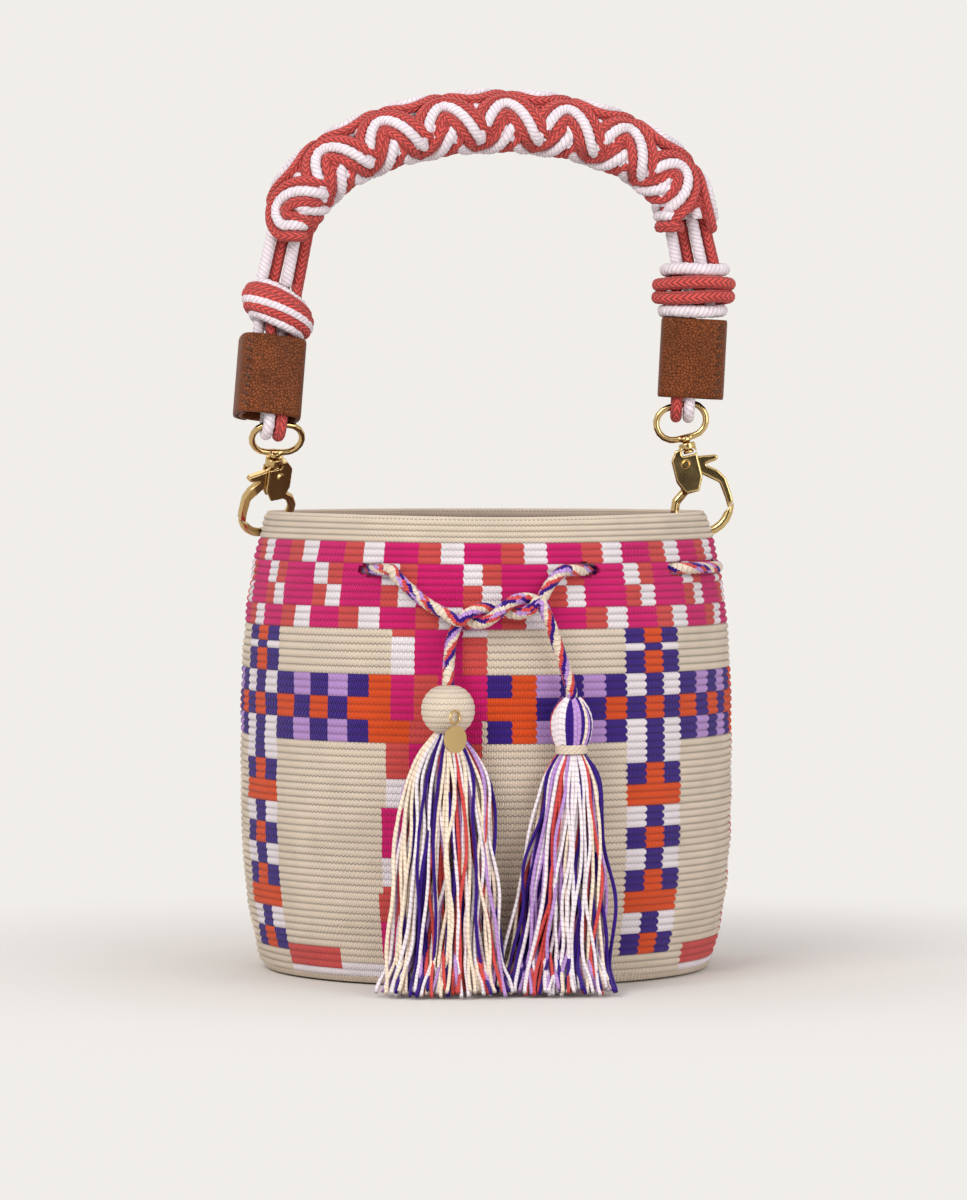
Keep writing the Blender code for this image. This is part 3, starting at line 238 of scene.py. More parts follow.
# Leather sleeves: rounding of both ends, and the stitches along the overlap
SLEEVE_EDGE = 0.0012
SLEEVE_EDGE_INSET = 0.28
SLEEVE_GRID = (96, 30)
SLEEVE_TURNS = 1 + 7 / 28
STITCH_COUNT = 8
STITCH_MARGIN = 0.0035
STITCH_RADIUS = 0.00042
STITCH_LAY = {"sides": 8, "plies": 2, "pitch": 0.002, "depth": 0.2}
STITCH_STEPS = 8
STITCH_START = 0.925
STITCH_TURN = 0.035

# Tassels
BALL_CENTRE = (-0.0156, -0.1160, 0.1159)
BALL_RADIUS = 0.0113
BALL_HEIGHT = 0.0205
BALL_ROWS = 12
BALL_GRID = (49, 64)
LEFT_NECK = (-0.0156, -0.1160, 0.1056)
RIGHT_NECK = (0.0349, -0.1100, 0.0972)
SKIRT_COUNT = 150
SKIRT_DEPTH = 0.019
SKIRT_TOE = 0.033

# Skirts: neck, widths above, in the middle and at the ends, colours of the strands, seed and lean
LEFT_SKIRT = (LEFT_NECK, (0.036, 0.042, 0.052), (0, 0, 4, 0, 4, 1, 4, 3, 1, 2, 3, 0, 4, 1, 0), 5, -0.001)
RIGHT_SKIRT = (RIGHT_NECK, (0.026, 0.036, 0.044), (1, 1, 4, 4, 4, 2, 3, 4, 1, 2, 4, 0, 3, 0), 9, -0.006)
STRAND_LAY = {"sides": 6, "plies": 2, "pitch": 0.0060, "depth": 0.20}

# Right tassel's head, folded over the cord, and its binding
HEAD_STRANDS = 30
HEAD_SEED = 21
HEAD_STEPS = 8
HEAD_TOP = 0.1207
HEAD_DROP = 0.0188
HEAD_HALVES = (0.0078, 0.0066)
HEAD_PALETTE = (1, 1, 3, 2, 1, 4, 3, 1, 0)
HEAD_STRAND_RADIUS = 0.00105
HEAD_LAY = {"sides": 8, "plies": 3, "pitch": 0.0075, "depth": 0.22}
BINDING_TURNS = 5
BINDING_LOW = 0.0976
BINDING_HEIGHT = 0.0034
BINDING_RADIUS = 0.0062
BINDING_THREAD = 0.00052
BINDING_STEPS = 24
BINDING_LAY = {"sides": 8, "plies": 2, "pitch": 0.004, "depth": 0.2}

# Braid of the drawstring: strands, their colours, pitch and the length of one coloured patch
BRAID_STRANDS = 8
BRAID_ORDER = (0, 0, 1, 2, 0, 3, 1, 2)
BRAID_PITCH = 0.030
BRAID_PATCH = 0.0052

# Holes in the wall: angles from the front towards +X
CORD_HOLES = (24, 53, 76, 106, 130, 160, 184, 214, 238, 332)
CORD_HOLE_HALF = (0.0066, 0.0031)
HOOK_HOLES = (90, 270)
HOOK_HOLE_HEIGHT = 0.1870
HOOK_HOLE_RADIUS = 0.0036

# Clasps: fineness of their cast surface and how long they are tumbled
CAST_VOXEL = 0.00038
CAST_PASSES = 7

# Stage: colours, fade of the floor into the backdrop by distance, and the camera
FLOOR_COLOUR = "DFDBD6"
WALL_COLOUR = "F1EEEA"
FLOOR_FADE = (0.10, 0.42)
FLOOR_HALF = 9
FLOOR_DROP = 0.0002
AMBIENT_COLOUR = (0.98, 0.98, 1.0, 1.0)
AMBIENT_STRENGTH = 0.62
CAMERA_LENS = 159.0
CAMERA_PLACE = (-0.0011, -2.28, 0.222)
CAMERA_PITCH = 1.62

# Lamps: name, place, aim, size, power and colour
LAMPS = (
    ("key", (-1.1, -1.7, 1.5), (0, 0, 0.10), (1.3, 1.1), 30.0, (1.0, 0.985, 0.97)),
    ("fill", (1.3, -1.5, 0.5), (0, 0, 0.12), (1.3, 1.3), 14.0, (1, 1, 1)),
    ("top", (0.1, 0.4, 1.9), (0, 0, 0.2), (1.6, 1.2), 7.0, (1, 1, 1)),
)

# Dark panels round the camera: name, place across and in front, turn in degrees and half of the width
DARK_FLAGS = (
    ("left_flag", -0.75, -0.95, 62, 0.13),
    ("right_flag", 0.95, -0.95, -50, 0.13),
    ("front_flag", 0.30, -2.45, 0, 0.80),
)
FLAG_HEIGHT = 0.30
FLAG_HALF_HEIGHT = 0.5
FLAG_COLOUR = (0.02, 0.018, 0.016)


def tint(code):
    """A linear colour from its six-digit code."""
    parts = [int(code[i:i + 2], 16) / 255 for i in (0, 2, 4)]
    return tuple(p / 12.92 if p <= 0.04045 else ((p + 0.055) / 1.055) ** 2.4 for p in parts)


def colour_property(name, description, code):
    """A colour of the bag in the side panel."""
    return FloatVectorProperty(name=name, description=description, default=tint(code), subtype="COLOR",
                               size=3, min=0.0, max=1.0)


def length_property(name, description, default):
    """A length of the bag in the side panel, in metres."""
    return FloatProperty(name=name, description=description, default=default, min=0.0, subtype="DISTANCE",
                         unit="LENGTH", precision=5)


class BagColours(bpy.types.PropertyGroup):
    """Colours of the bag"""
    natural: colour_property("Natural", "Undyed cotton of the rim, wall and base", "E3D1BC")
    magenta: colour_property("Magenta", "Magenta cotton", "D2006A")
    coral: colour_property("Coral", "Coral cotton of the crochet", "D24A46")
    white: colour_property("White", "Pinkish white cotton", "F1E6EA")
    purple: colour_property("Purple", "Deep purple cotton", "32087A")
    orange: colour_property("Orange", "Orange cotton", "DE4A06")
    lilac: colour_property("Lilac", "Lilac cotton", "BC93D2")
    coral_rope: colour_property("Coral rope", "Coral rope of the handle", "E05650")
    white_rope: colour_property("White rope", "White rope of the handle", "E9DDE3")
    gilt: colour_property("Gilt", "Plating of the clasps and charm", "CDB07A")
    leather: colour_property("Leather", "Pebbled leather of the sleeves", "7C3D12")
    thread: colour_property("Thread", "Thread that closes the sleeves", "5A3A28")


class BagSizes(bpy.types.PropertyGroup):
    """Sizes that the detail is made to"""
    stitches: IntProperty(name="Stitches", description="Stitches in one row of the crochet", default=324,
                          min=36, step=18)
    row_relief: length_property("Row relief", "Depth of the groove between two rows", 0.00075)
    stitch_relief: length_property("Stitch relief", "Depth between two stitches of a row", 0.00016)
    cord_diameter: length_property("Cord diameter", "Diameter of the braided drawstring", 0.0050)
    rope_diameter: length_property("Rope diameter", "Diameter of the handle's rope", 0.0050)
    strand_diameter: length_property("Strand diameter", "Diameter of one tassel strand", 0.0017)


def colours():
    """The colours chosen in the panel."""
    return bpy.context.scene.bag_colours


def sizes():
    """The sizes chosen in the panel."""
    return bpy.context.scene.bag_sizes


def mesh_object(name, points, faces, materials, indices=None, uvs=None):
    """A linked object from arrays of points and faces; uvs holds one pair for each corner."""
    data = bpy.data.meshes.new(name)
    data.from_pydata([tuple(p) for p in points], [], [tuple(f) for f in faces])
    for material in materials:
        data.materials.append(material)
    if indices is not None:
        data.polygons.foreach_set("material_index", np.asarray(indices, np.int32).ravel())
    if uvs is not None:
        layer = data.uv_layers.new(name="stitches")
        layer.data.foreach_set("uv", np.asarray(uvs, np.float32).ravel())
    data.polygons.foreach_set("use_smooth", np.full(len(data.polygons), True))
    data.update()
    made = bpy.data.objects.new(name, data)
    bpy.context.scene.collection.objects.link(made)
    return made


def grid_faces(rows, columns, closed):
    """Quads between rows of points; closed joins the last column to the first."""
    across = columns if closed else columns - 1
    i, j = np.meshgrid(np.arange(rows - 1), np.arange(across), indexing="ij")
    after = (j + 1) % columns
    return np.stack([i * columns + j, i * columns + after, (i + 1) * columns + after, (i + 1) * columns + j],
                    axis=-1).reshape(-1, 4)


def grid_uvs(u_low, u_high, v_low, v_high):
    """Corner pairs for the quads of grid_faces, from each quad's own limits."""
    return np.stack([np.stack([u_low, v_low], -1), np.stack([u_high, v_low], -1),
                     np.stack([u_high, v_high], -1), np.stack([u_low, v_high], -1)], axis=-2)


def smooth_route(points, spacing):
    """Evenly spaced points of a smooth curve through the given ones, as an array."""
    knots = [Vector(p) for p in points]
    ends = [2 * knots[0] - knots[1], *knots, 2 * knots[-1] - knots[-2]]
    fine = []
    for a, b, c, d in zip(ends, ends[1:], ends[2:], ends[3:]):
        for step in range(10):
            t = step / 10
            fine.append(0.5 * (2 * b + (c - a) * t + (2 * a - 5 * b + 4 * c - d) * t**2
                               + (3 * b - a - 3 * c + d) * t**3))
    fine.append(knots[-1])
    return even_route(np.array([tuple(p) for p in fine]), spacing)


def even_route(points, spacing):
    """The same line with its points a given length apart."""
    lengths = np.concatenate([[0], np.cumsum(np.linalg.norm(np.diff(points, axis=0), axis=1))])
    count = max(2, int(round(lengths[-1] / spacing)))
    wanted = np.linspace(0, lengths[-1], count + 1)
    return np.stack([np.interp(wanted, lengths, points[:, i]) for i in range(3)], axis=1)


def along_and_across(path):
    """Unit tangents, and two unit directions across the path that don't twist."""
    tangent = np.gradient(path, axis=0)
    tangent /= np.linalg.norm(tangent, axis=1)[:, None]
    side = np.zeros_like(tangent)
    start = np.array([0.0, 0.0, 1.0]) if abs(tangent[0][2]) < 0.8 else np.array([0.0, 1.0, 0.0])
    for i, t in enumerate(tangent):
        last = start if i == 0 else side[i - 1]
        flat = last - t * (last @ t)
        side[i] = flat / np.linalg.norm(flat)
    return tangent, side, np.cross(tangent, side)


def tube_uvs(lengths, sides):
    """Corner pairs of a tube's quads: u runs along the tube in metres, v once round it."""
    rows = len(lengths) - 1
    u_low, u_high = np.repeat(lengths[:-1], sides), np.repeat(lengths[1:], sides)
    v = np.tile(np.arange(sides), rows) / sides
    corners = ((u_low, v), (u_low, v + 1 / sides), (u_high, v + 1 / sides), (u_high, v))
    return np.stack([np.stack(corner, -1) for corner in corners], axis=-2)


def ply_radius(angle, plies, depth):
    """Share of the full radius round a section of twisted plies."""
    return 1 - depth * (1 - np.abs(np.cos(angle * plies / 2))) ** 1.6


def twisted_tube(path, radius, sides, plies, pitch, depth):
    """Rings of points of a tube whose plies wind round it, the turn of each ring and its way along."""
    tangent, side, up = along_and_across(path)
    lengths = np.concatenate([[0], np.cumsum(np.linalg.norm(np.diff(path, axis=0), axis=1))])
    turn = 2 * math.pi * lengths / pitch
    a = np.arange(sides) * 2 * math.pi / sides
    size = radius * ply_radius(a[None, :] - turn[:, None], plies, depth)
    ring = side[:, None] * np.cos(a)[None, :, None] + up[:, None] * np.sin(a)[None, :, None]
    return path[:, None] + ring * size[:, :, None], turn, lengths


def tube_parts(path, radius, sides, plies, pitch, depth):
    """Points, faces and corner coordinates of a rope."""
    rings, _, lengths = twisted_tube(np.asarray(path), radius, sides, plies, pitch, depth)
    faces = grid_faces(len(path), sides, True)
    return rings.reshape(-1, 3), faces[:, ::-1], tube_uvs(lengths, sides)[:, ::-1]


def close_ends(points, sides):
    """The points of one tube with the middles of its ends, and the fans of triangles that close it."""
    count = len(points)
    first = points[:sides].mean(0)
    last = points[-sides:].mean(0)
    fans = []
    for j in range(sides):
        fans.append((count, j, (j + 1) % sides))
        fans.append((count + 1, count - sides + (j + 1) % sides, count - sides + j))
    return np.vstack([points, first, last]), fans


def rope_object(name, strands, materials):
    """One object from several tubes, each as (path, radius, material index, lay)."""
    points, faces, indices, uvs = [], [], [], []
    total = 0
    for path, radius, index, lay in strands:
        p, f, c = tube_parts(path, radius, **lay)
        capped, fans = close_ends(p, lay["sides"])
        points.append(capped)
        faces += [tuple(int(v) + total for v in face) for face in f]
        uvs += [tuple(map(float, pair)) for quad in c for pair in quad]
        indices += [index] * len(f)
        faces += [tuple(v + total for v in fan) for fan in fans]
        uvs += [(0.0, 0.0)] * (3 * len(fans))
        indices += [index] * len(fans)
        total += len(capped)
    return mesh_object(name, np.vstack(points), faces, materials, indices, uvs)


def place(obj, body, slot_name=None, *nodes):
    """Lets the piece ride on a body and stand for solids; slot_name is not used."""
    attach(obj, body)
    if nodes:
        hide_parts(*nodes)
    return obj


class Nodes:
    """A short way to add and wire shader nodes."""

    def __init__(self, name, roughness, metallic=0.0):
        self.material = bpy.data.materials.new(name)
        self.material.use_nodes = True
        self.tree = self.material.node_tree
        self.shader = self.tree.nodes["Principled BSDF"]
        self.shader.inputs["Roughness"].default_value = roughness
        self.shader.inputs["Metallic"].default_value = metallic

    def add(self, kind, **values):
        """Adds a node and sets its options."""
        node = self.tree.nodes.new(kind)
        for key, value in values.items():
            setattr(node, key, value)
        return node

    def link(self, source, target):
        """Joins an output to an input."""
        self.tree.links.new(source, target)

    def math(self, operation, first, second=None):
        """One step of arithmetic on numbers or sockets."""
        node = self.add("ShaderNodeMath", operation=operation)
        for socket, value in zip(node.inputs, (first, second)):
            if value is None:
                continue
            if isinstance(value, (int, float)):
                socket.default_value = value
            else:
                self.link(value, socket)
        return node.outputs[0]

    def uv(self):
        """The two coordinates of the stitches, as separate sockets."""
        split = self.add("ShaderNodeSeparateXYZ")
        self.link(self.add("ShaderNodeUVMap", uv_map="stitches").outputs[0], split.inputs[0])
        return split.outputs[0], split.outputs[1]

    def noise(self, scale, detail):
        """Cloudy noise in the piece's own space."""
        node = self.add("ShaderNodeTexNoise")
        node.inputs["Scale"].default_value = scale
        node.inputs["Detail"].default_value = detail
        self.link(self.add("ShaderNodeTexCoord").outputs["Object"], node.inputs["Vector"])
        return node.outputs[0]

    def blend(self, share, first, second):
        """Mixes two colours, given as tuples or sockets."""
        node = self.add("ShaderNodeMix", data_type="RGBA")
        self.link(share, node.inputs[0])
        for socket, value in ((node.inputs[6], first), (node.inputs[7], second)):
            if isinstance(value, tuple):
                socket.default_value = (*value, 1.0)
            else:
                self.link(value, socket)
        return node.outputs[2]

    def ramp(self, value, low, high, start=0.0, end=1.0, interpolation="LINEAR"):
        """Carries a value from between two limits to between two others."""
        node = self.add("ShaderNodeMapRange", interpolation_type=interpolation)
        self.link(value, node.inputs[0])
        for socket, limit in zip(node.inputs[1:5], (low, high, start, end)):
            socket.default_value = limit
        return node.outputs[0]

    def bump(self, height, strength, distance):
        """Raises the surface by a height socket."""
        node = self.add("ShaderNodeBump")
        node.inputs["Strength"].default_value = strength
        node.inputs["Distance"].default_value = distance
        self.link(height, node.inputs["Height"])
        self.link(node.outputs[0], self.shader.inputs["Normal"])

    def cotton(self, sheen, sheen_roughness, specular):
        """How cotton takes the light."""
        for socket, value in (("Sheen Weight", sheen), ("Sheen Roughness", sheen_roughness),
                              ("Specular IOR Level", specular)):
            self.shader.inputs[socket].default_value = value

    def colour(self, value):
        """Sets the base colour, from a tuple or a socket."""
        if isinstance(value, tuple):
            self.shader.inputs["Base Color"].default_value = (*value, 1.0)
        else:
            self.link(value, self.shader.inputs["Base Color"])


def shade(colour, factor):
    """The same colour, darker or lighter."""
    return tuple(min(1.0, c * factor) for c in colour)


def crochet_material(name, colour):
    """Cotton single crochet: slanted strands over each stitch and a groove between rows, with painted shade
    between the strands and in the groove.
    """
    n = Nodes(name, 0.88)
    colour = tuple(colour)
    u, v = n.uv()
    slanted = n.math("ADD", n.math("MULTIPLY", u, 2.0), n.math("MULTIPLY", v, 1.1))
    strand = n.math("ABSOLUTE", n.math("SINE", n.math("MULTIPLY", slanted, math.pi)))
    jag = n.math("MULTIPLY", n.math("SINE", n.math("MULTIPLY", u, 2 * math.pi)), 0.09)
    across = n.math("FRACT", n.math("ADD", v, jag))
    edge = n.math("ABSOLUTE", n.math("SUBTRACT", across, 0.5))
    groove = n.ramp(edge, 0.36, 0.49)
    fuzz = n.noise(1400.0, 4.0)
    height = n.math("ADD", n.math("MULTIPLY", strand, 0.6), n.math("MULTIPLY", fuzz, 0.35))
    height = n.math("SUBTRACT", height, n.math("MULTIPLY", groove, 0.5))
    n.bump(height, 0.85, 0.0006)
    worn = n.blend(n.ramp(n.noise(60.0, 2.0), 0.35, 0.7), shade(colour, 0.93), shade(colour, 1.05))
    # Painted shade: darker in the hollows between the slanted strands.
    strands = n.blend(n.ramp(strand, 0.0, 0.55), shade(colour, 0.72), worn)
    # Painted shade in the groove between rows; deeper in the natural cotton, where it also shows the dark
    # strands carried between rows.
    depth = 0.26 if name.endswith("natural") else 0.5
    n.colour(n.blend(n.math("MULTIPLY", groove, 0.8), strands, shade(colour, depth)))
    n.cotton(0.12, 0.6, 0.25)
    return n.material


def yarn_material(name, colour, pitch=0.0022, around=1.0, shade_between_fibres=0.6):
    """Loosely twisted cotton: fine fibres that wind round the strand, with painted shade between them."""
    n = Nodes(name, 0.85)
    colour = tuple(colour)
    u, v = n.uv()
    winding = n.math("ADD", n.math("DIVIDE", u, pitch), n.math("MULTIPLY", v, around))
    fibre = n.math("ABSOLUTE", n.math("SINE", n.math("MULTIPLY", winding, math.pi)))
    fuzz = n.noise(1800.0, 3.0)
    n.bump(n.math("ADD", n.math("MULTIPLY", fibre, 0.7), n.math("MULTIPLY", fuzz, 0.3)), 0.7, 0.0003)
    tone = n.blend(n.ramp(n.noise(220.0, 2.0), 0.3, 0.7), shade(colour, 0.9), shade(colour, 1.06))
    # Painted shade: darker in the hollows between the fibres.
    n.colour(n.blend(n.ramp(fibre, 0.0, 0.5), shade(colour, shade_between_fibres), tone))
    n.cotton(0.12, 0.5, 0.25)
    return n.material


def braided_material(name, colour):
    """Braided rope: small slanted strands that lean one way and then the other, like a herringbone, with
    painted shade between the strands and along the seams.
    """
    n = Nodes(name, 0.8)
    colour = tuple(colour)
    u, v = n.uv()
    lane = n.math("FRACT", n.math("MULTIPLY", v, 4.0))
    lean = n.math("ABSOLUTE", n.math("SUBTRACT", lane, 0.5))
    weave = n.math("ADD", n.math("MULTIPLY", u, 420.0), n.math("MULTIPLY", lean, 2.4))
    strand = n.math("ABSOLUTE", n.math("SINE", n.math("MULTIPLY", weave, math.pi)))
    seam = n.ramp(lean, 0.0, 0.10)
    fuzz = n.noise(1600.0, 3.0)
    ridge = n.math("MULTIPLY", n.math("MULTIPLY", strand, seam), 0.8)
    height = n.math("ADD", ridge, n.math("MULTIPLY", fuzz, 0.25))
    n.bump(height, 1.0, 0.0010)
    tone = n.blend(n.ramp(n.noise(150.0, 2.0), 0.3, 0.7), shade(colour, 0.9), shade(colour, 1.06))
    # Painted shade: darker between the strands and along the seams between the lanes.
    n.colour(n.blend(n.math("MULTIPLY", n.ramp(strand, 0.1, 0.7), seam), shade(colour, 0.5), tone))
    n.cotton(0.1, 0.5, 0.3)
    return n.material


def gilt_material():
    """Polished plating with faint handling marks."""
    n = Nodes("gilt", 0.16, 1.0)
    base = tuple(colours().gilt)
    cloud = n.ramp(n.noise(90.0, 4.0), 0.35, 0.7)
    n.colour(n.blend(cloud, shade(base, 0.94), shade(base, 1.04)))
    marks = n.noise(900.0, 2.0)
    n.bump(marks, 0.06, 0.0001)
    n.link(n.ramp(n.noise(140.0, 3.0), 0.0, 1.0, 0.12, 0.24), n.shader.inputs["Roughness"])
    return n.material


def leather_material():
    """Pebbled leather: raised grains with painted shade in the creases between them."""
    n = Nodes("pebbled_leather", 0.5)
    base = tuple(colours().leather)
    grain = n.add("ShaderNodeTexVoronoi", feature="DISTANCE_TO_EDGE")
    grain.inputs["Scale"].default_value = 780.0
    n.link(n.add("ShaderNodeTexCoord").outputs["Object"], grain.inputs["Vector"])
    pebble = n.ramp(grain.outputs["Distance"], 0.0, 0.12)
    fine = n.noise(2400.0, 3.0)
    n.bump(n.math("ADD", pebble, n.math("MULTIPLY", fine, 0.3)), 0.8, 0.0004)
    tone = n.blend(n.ramp(n.noise(80.0, 3.0), 0.3, 0.7), shade(base, 0.8), shade(base, 1.15))
    # Painted shade in the creases between the grains.
    n.colour(n.blend(pebble, shade(base, 0.35), tone))
    n.shader.inputs["Specular IOR Level"].default_value = 0.3
    return n.material


def material_of(name, make):
    """A material by name, made the first time that it is wanted."""
    return bpy.data.materials.get(name) or make()


def crochet_materials():
    """The seven cottons of the crochet, in the order of the colour numbers."""
    found = colours()
    names = ("natural", "magenta", "coral", "white", "purple", "orange", "lilac")
    return [material_of(f"crochet_{name}",
                        lambda name=name: crochet_material(f"crochet_{name}", getattr(found, name)))
            for name in names]


def yarn_materials():
    """Plain yarns for cord and tassels: natural, purple, coral, lilac and white."""
    found = colours()
    names = ("natural", "purple", "coral", "lilac", "white")
    return [material_of(f"yarn_{name}", lambda name=name: yarn_material(f"yarn_{name}", getattr(found, name)))
            for name in names]


def tassel_materials():
    """Yarns of the tassels: cream, purple, coral, lilac and white."""
    cream = material_of("yarn_cream", lambda: yarn_material("yarn_cream", shade(colours().natural, 1.22)))
    return [cream, *yarn_materials()[1:]]


def rope_materials():
    """Braided coral rope and twisted white rope."""
    found = colours()
    return [material_of("braided_coral", lambda: braided_material("braided_coral", found.coral_rope)),
            material_of("plied_white",
                        lambda: yarn_material("plied_white", found.white_rope, 0.0018, 4.0, 0.6))]


def outer_radius(z):
    """Radius of the wall's crests at a height."""
    if z < BELLY_HEIGHT:
        return BELLY_RADIUS - (BELLY_RADIUS - BASE_RADIUS) * ((BELLY_HEIGHT - z) / BELLY_HEIGHT) ** 3
    rise = (z - BELLY_HEIGHT) / (BODY_HEIGHT - BELLY_HEIGHT)
    return BELLY_RADIUS - (BELLY_RADIUS - MOUTH_RADIUS) * rise**3


def row_edges():
    """Heights of the rows' upper edges from the rim down, with the last row's lower edge."""
    edges = [BODY_HEIGHT]
    for count, end in ROW_ZONES:
        start = edges[-1]
        edges += [start + (end - start) * (i + 1) / count for i in range(count)]
    return edges


def stripe_colour(stripe, row):
    """The colour that a stripe's sub-column has in a row below the band."""
    left = row - WALL_TOP_ROW
    for rows, colour in stripe:
        left -= rows
        if left < 0:
            return colour
    return NATURAL


def band_colour(stitch, row):
    """Check of the band: blocks of five stitches that shift in its two middle rows of blocks."""
    block_row = (row - RIM_ROWS) // BLOCK_ROWS
    place = (stitch - BAND_START) % BAND_REPEAT
    first_end, second_end, third_end = BAND_ENDS
    if block_row in (0, 3):
        return CORAL if place < first_end else WHITE if place < second_end else MAGENTA
    first, second = (WHITE, CORAL) if block_row == 1 else (CORAL, WHITE)
    if place >= third_end:
        return second
    return first if place >= second_end else MAGENTA


def foot_mark(stitch, row, mark):
    """Whether a stitch belongs to one of the short marks at the foot of the wall."""
    rows, start, length = mark
    return row >= ALL_ROWS - rows and (stitch - start) % FOOT_REPEAT < length


def plaid_colour(stitch, row, start, end, after_purple):
    """Blocks of the plaid between two stripes; one block is orange from top to bottom."""
    blocks = max(2, round((end - start) / PLAID_BLOCK))
    block = min(blocks - 1, int((stitch - start) * blocks / (end - start)))
    middle = (row - PLAID_TOP_ROW) // BLOCK_ROWS == 1
    if block == (blocks - 1 if after_purple else 1):
        return ORANGE
    step = block if after_purple or block == 0 else block - 1
    if step % 2:
        return PURPLE if middle else LILAC
    return ORANGE if middle else PURPLE


def wall_colour(stitch, row, count):
    """Colour number of one stitch of the body."""
    half = count // 2
    around = PATTERN_STITCHES
    stitch = (stitch * around / count + half * around / count) % around - around // 2
    if row < RIM_ROWS:
        return NATURAL
    if row < BAND_ROWS:
        return band_colour(math.floor(stitch), row)
    fallen = (row - BAND_ROWS) / (ALL_ROWS - BAND_ROWS)
    for first, last, columns, slant in STRIPES:
        spot = stitch + slant * fallen
        if first <= spot < last:
            return stripe_colour(columns[int((spot - first) * len(columns) / (last - first))], row)
    if PLAID_TOP_ROW <= row < PLAID_END_ROW:
        spans = [(STRIPES[i][1], STRIPES[(i + 1) % len(STRIPES)][0]) for i in range(len(STRIPES))]
        for index, (start, end) in enumerate(spans):
            end = end + around if end < start else end
            shifted = stitch if stitch >= start else stitch + around
            if start <= shifted < end:
                return plaid_colour(shifted, row, start, end, STRIPES[index][2] is PURPLE_STRIPE)
    if foot_mark(stitch, row, CORAL_FOOT):
        return CORAL if row < ALL_ROWS - 1 else WHITE
    if foot_mark(stitch, row, WHITE_FOOT):
        return WHITE
    return NATURAL


def wall_grid(first_row, last_row, inside=False):
    """Points, row positions and column positions of a zone of the wall."""
    count = sizes().stitches
    relief, stitch_relief = sizes().row_relief, sizes().stitch_relief
    edges = row_edges()
    columns = count * 2
    steps = 2 if inside else 3
    levels = []
    for row in range(first_row, last_row):
        top, end = edges[row:row + 2]
        levels += [(row + s / steps, top + (end - top) * s / steps) for s in range(steps)]
    levels.append((float(last_row), edges[last_row]))
    position = np.arange(columns) / 2
    points = []
    for v, z in levels:
        part = v % 1
        bulge = math.sin(math.pi * part) ** 0.8 if part else 0.0
        radius = outer_radius(z) - relief * (1 - bulge)
        if inside:
            radius = outer_radius(z) - WALL + relief * (1 - bulge) * 0.7
        wave = np.where(np.arange(columns) % 2 == 0, 1.0, -1.0) * stitch_relief * (0.4 + 0.6 * bulge)
        lean = 0.30 * math.sin(math.pi * part) + 0.12 * part
        sway = 0.00025 * np.sin(position * 2 * math.pi * 7 / count + v * 0.9)
        sway = sway + 0.0002 * np.sin(position * 0.31 + v)
        angle = 2 * math.pi * (position + lean) / count
        r = radius + wave * (-1 if inside else 1) + (0 if inside else 0.6) * (sway - 0.0003)
        dip = RIM_DIP * np.exp(-((angle - 0.10) / 0.8) ** 2)
        dip = dip + RIM_DIP * np.exp(-((angle - 0.10 - 2 * math.pi) / 0.8) ** 2)
        share = max(0.0, (z - DIP_START) / (BODY_HEIGHT - DIP_START))
        points.append(np.stack([r * np.sin(angle), -r * np.cos(angle), z - dip * share**2], -1))
    return np.array(points), np.array([v for v, _ in levels]), position


def in_holes(centres):
    """Which faces lie in a hole that the drawstring or a hook goes through."""
    angle = np.degrees(np.arctan2(centres[:, 0], -centres[:, 1])) % 360
    across = np.radians(np.array([angle - hole for hole in CORD_HOLES])) * MOUTH_RADIUS
    half_width, half_height = CORD_HOLE_HALF
    holes = ((across / half_width) ** 2 + ((centres[:, 2] - CORD_HEIGHT) / half_height) ** 2 < 1).any(0)
    across = np.radians(np.array([angle - hole for hole in HOOK_HOLES])) * MOUTH_RADIUS
    hooks = (across**2 + (centres[:, 2] - HOOK_HOLE_HEIGHT) ** 2 < HOOK_HOLE_RADIUS**2).any(0)
    return holes | hooks


def wall_piece(name, first_row, last_row, inside=False):
    """A zone of the wall as one object, with a colour for each stitch."""
    points, v, position = wall_grid(first_row, last_row, inside)
    count = sizes().stitches
    rows, columns = points.shape[:2]
    faces = grid_faces(rows, columns, True)
    if not inside:
        faces = faces[:, ::-1]
    table = np.array([[wall_colour(s - count // 2, row, count) for s in range(count)]
                      for row in range(first_row, last_row)])
    row_of = np.repeat(np.floor(v[:-1] + 1e-6).astype(int) - first_row, columns)
    column_of = np.tile(np.arange(columns) // 2, rows - 1)
    indices = table[row_of, (column_of + count // 2) % count]
    u_low = np.tile(position, rows - 1)
    v_low, v_high = np.repeat(v[:-1], columns), np.repeat(v[1:], columns)
    uvs = grid_uvs(u_low, u_low + 0.5, v_low, v_high)
    if not inside:
        uvs = uvs[:, ::-1]
    flat = points.reshape(-1, 3)
    keep = ~in_holes(flat[faces].mean(1))
    return mesh_object(name, flat, faces[keep], crochet_materials(), indices[keep], uvs[keep])


def rim_top():
    """The rounded upper edge, whose stitches lie flat like a row of small chains."""
    count = sizes().stitches
    columns = count * 2
    position = np.arange(columns) / 2
    outside = wall_grid(0, 1)[0][0]
    inside = wall_grid(0, 1, True)[0][0]
    rows = []
    steps = 6
    for i in range(steps + 1):
        share = i / steps
        turn = 0.24 * math.sin(math.pi * share)
        lift = 0.0012 * math.sin(math.pi * share)
        ring = outside + (inside - outside) * (1 - math.cos(math.pi * share)) / 2
        wave = np.where(np.arange(columns) % 2 == 0, 1, -1)[:, None]
        ring = ring + np.array([0, 0, lift]) + 0.00018 * wave * turn
        rows.append(ring)
    points = np.array(rows)
    v = np.linspace(0.15, 0.85, steps + 1)
    faces = grid_faces(steps + 1, columns, True)
    u_low = np.tile(position, steps)
    uvs = grid_uvs(u_low, u_low + 0.5, np.repeat(v[:-1], columns), np.repeat(v[1:], columns))
    return mesh_object("crochet_rim_edge", points.reshape(-1, 3), faces, crochet_materials(), None, uvs)


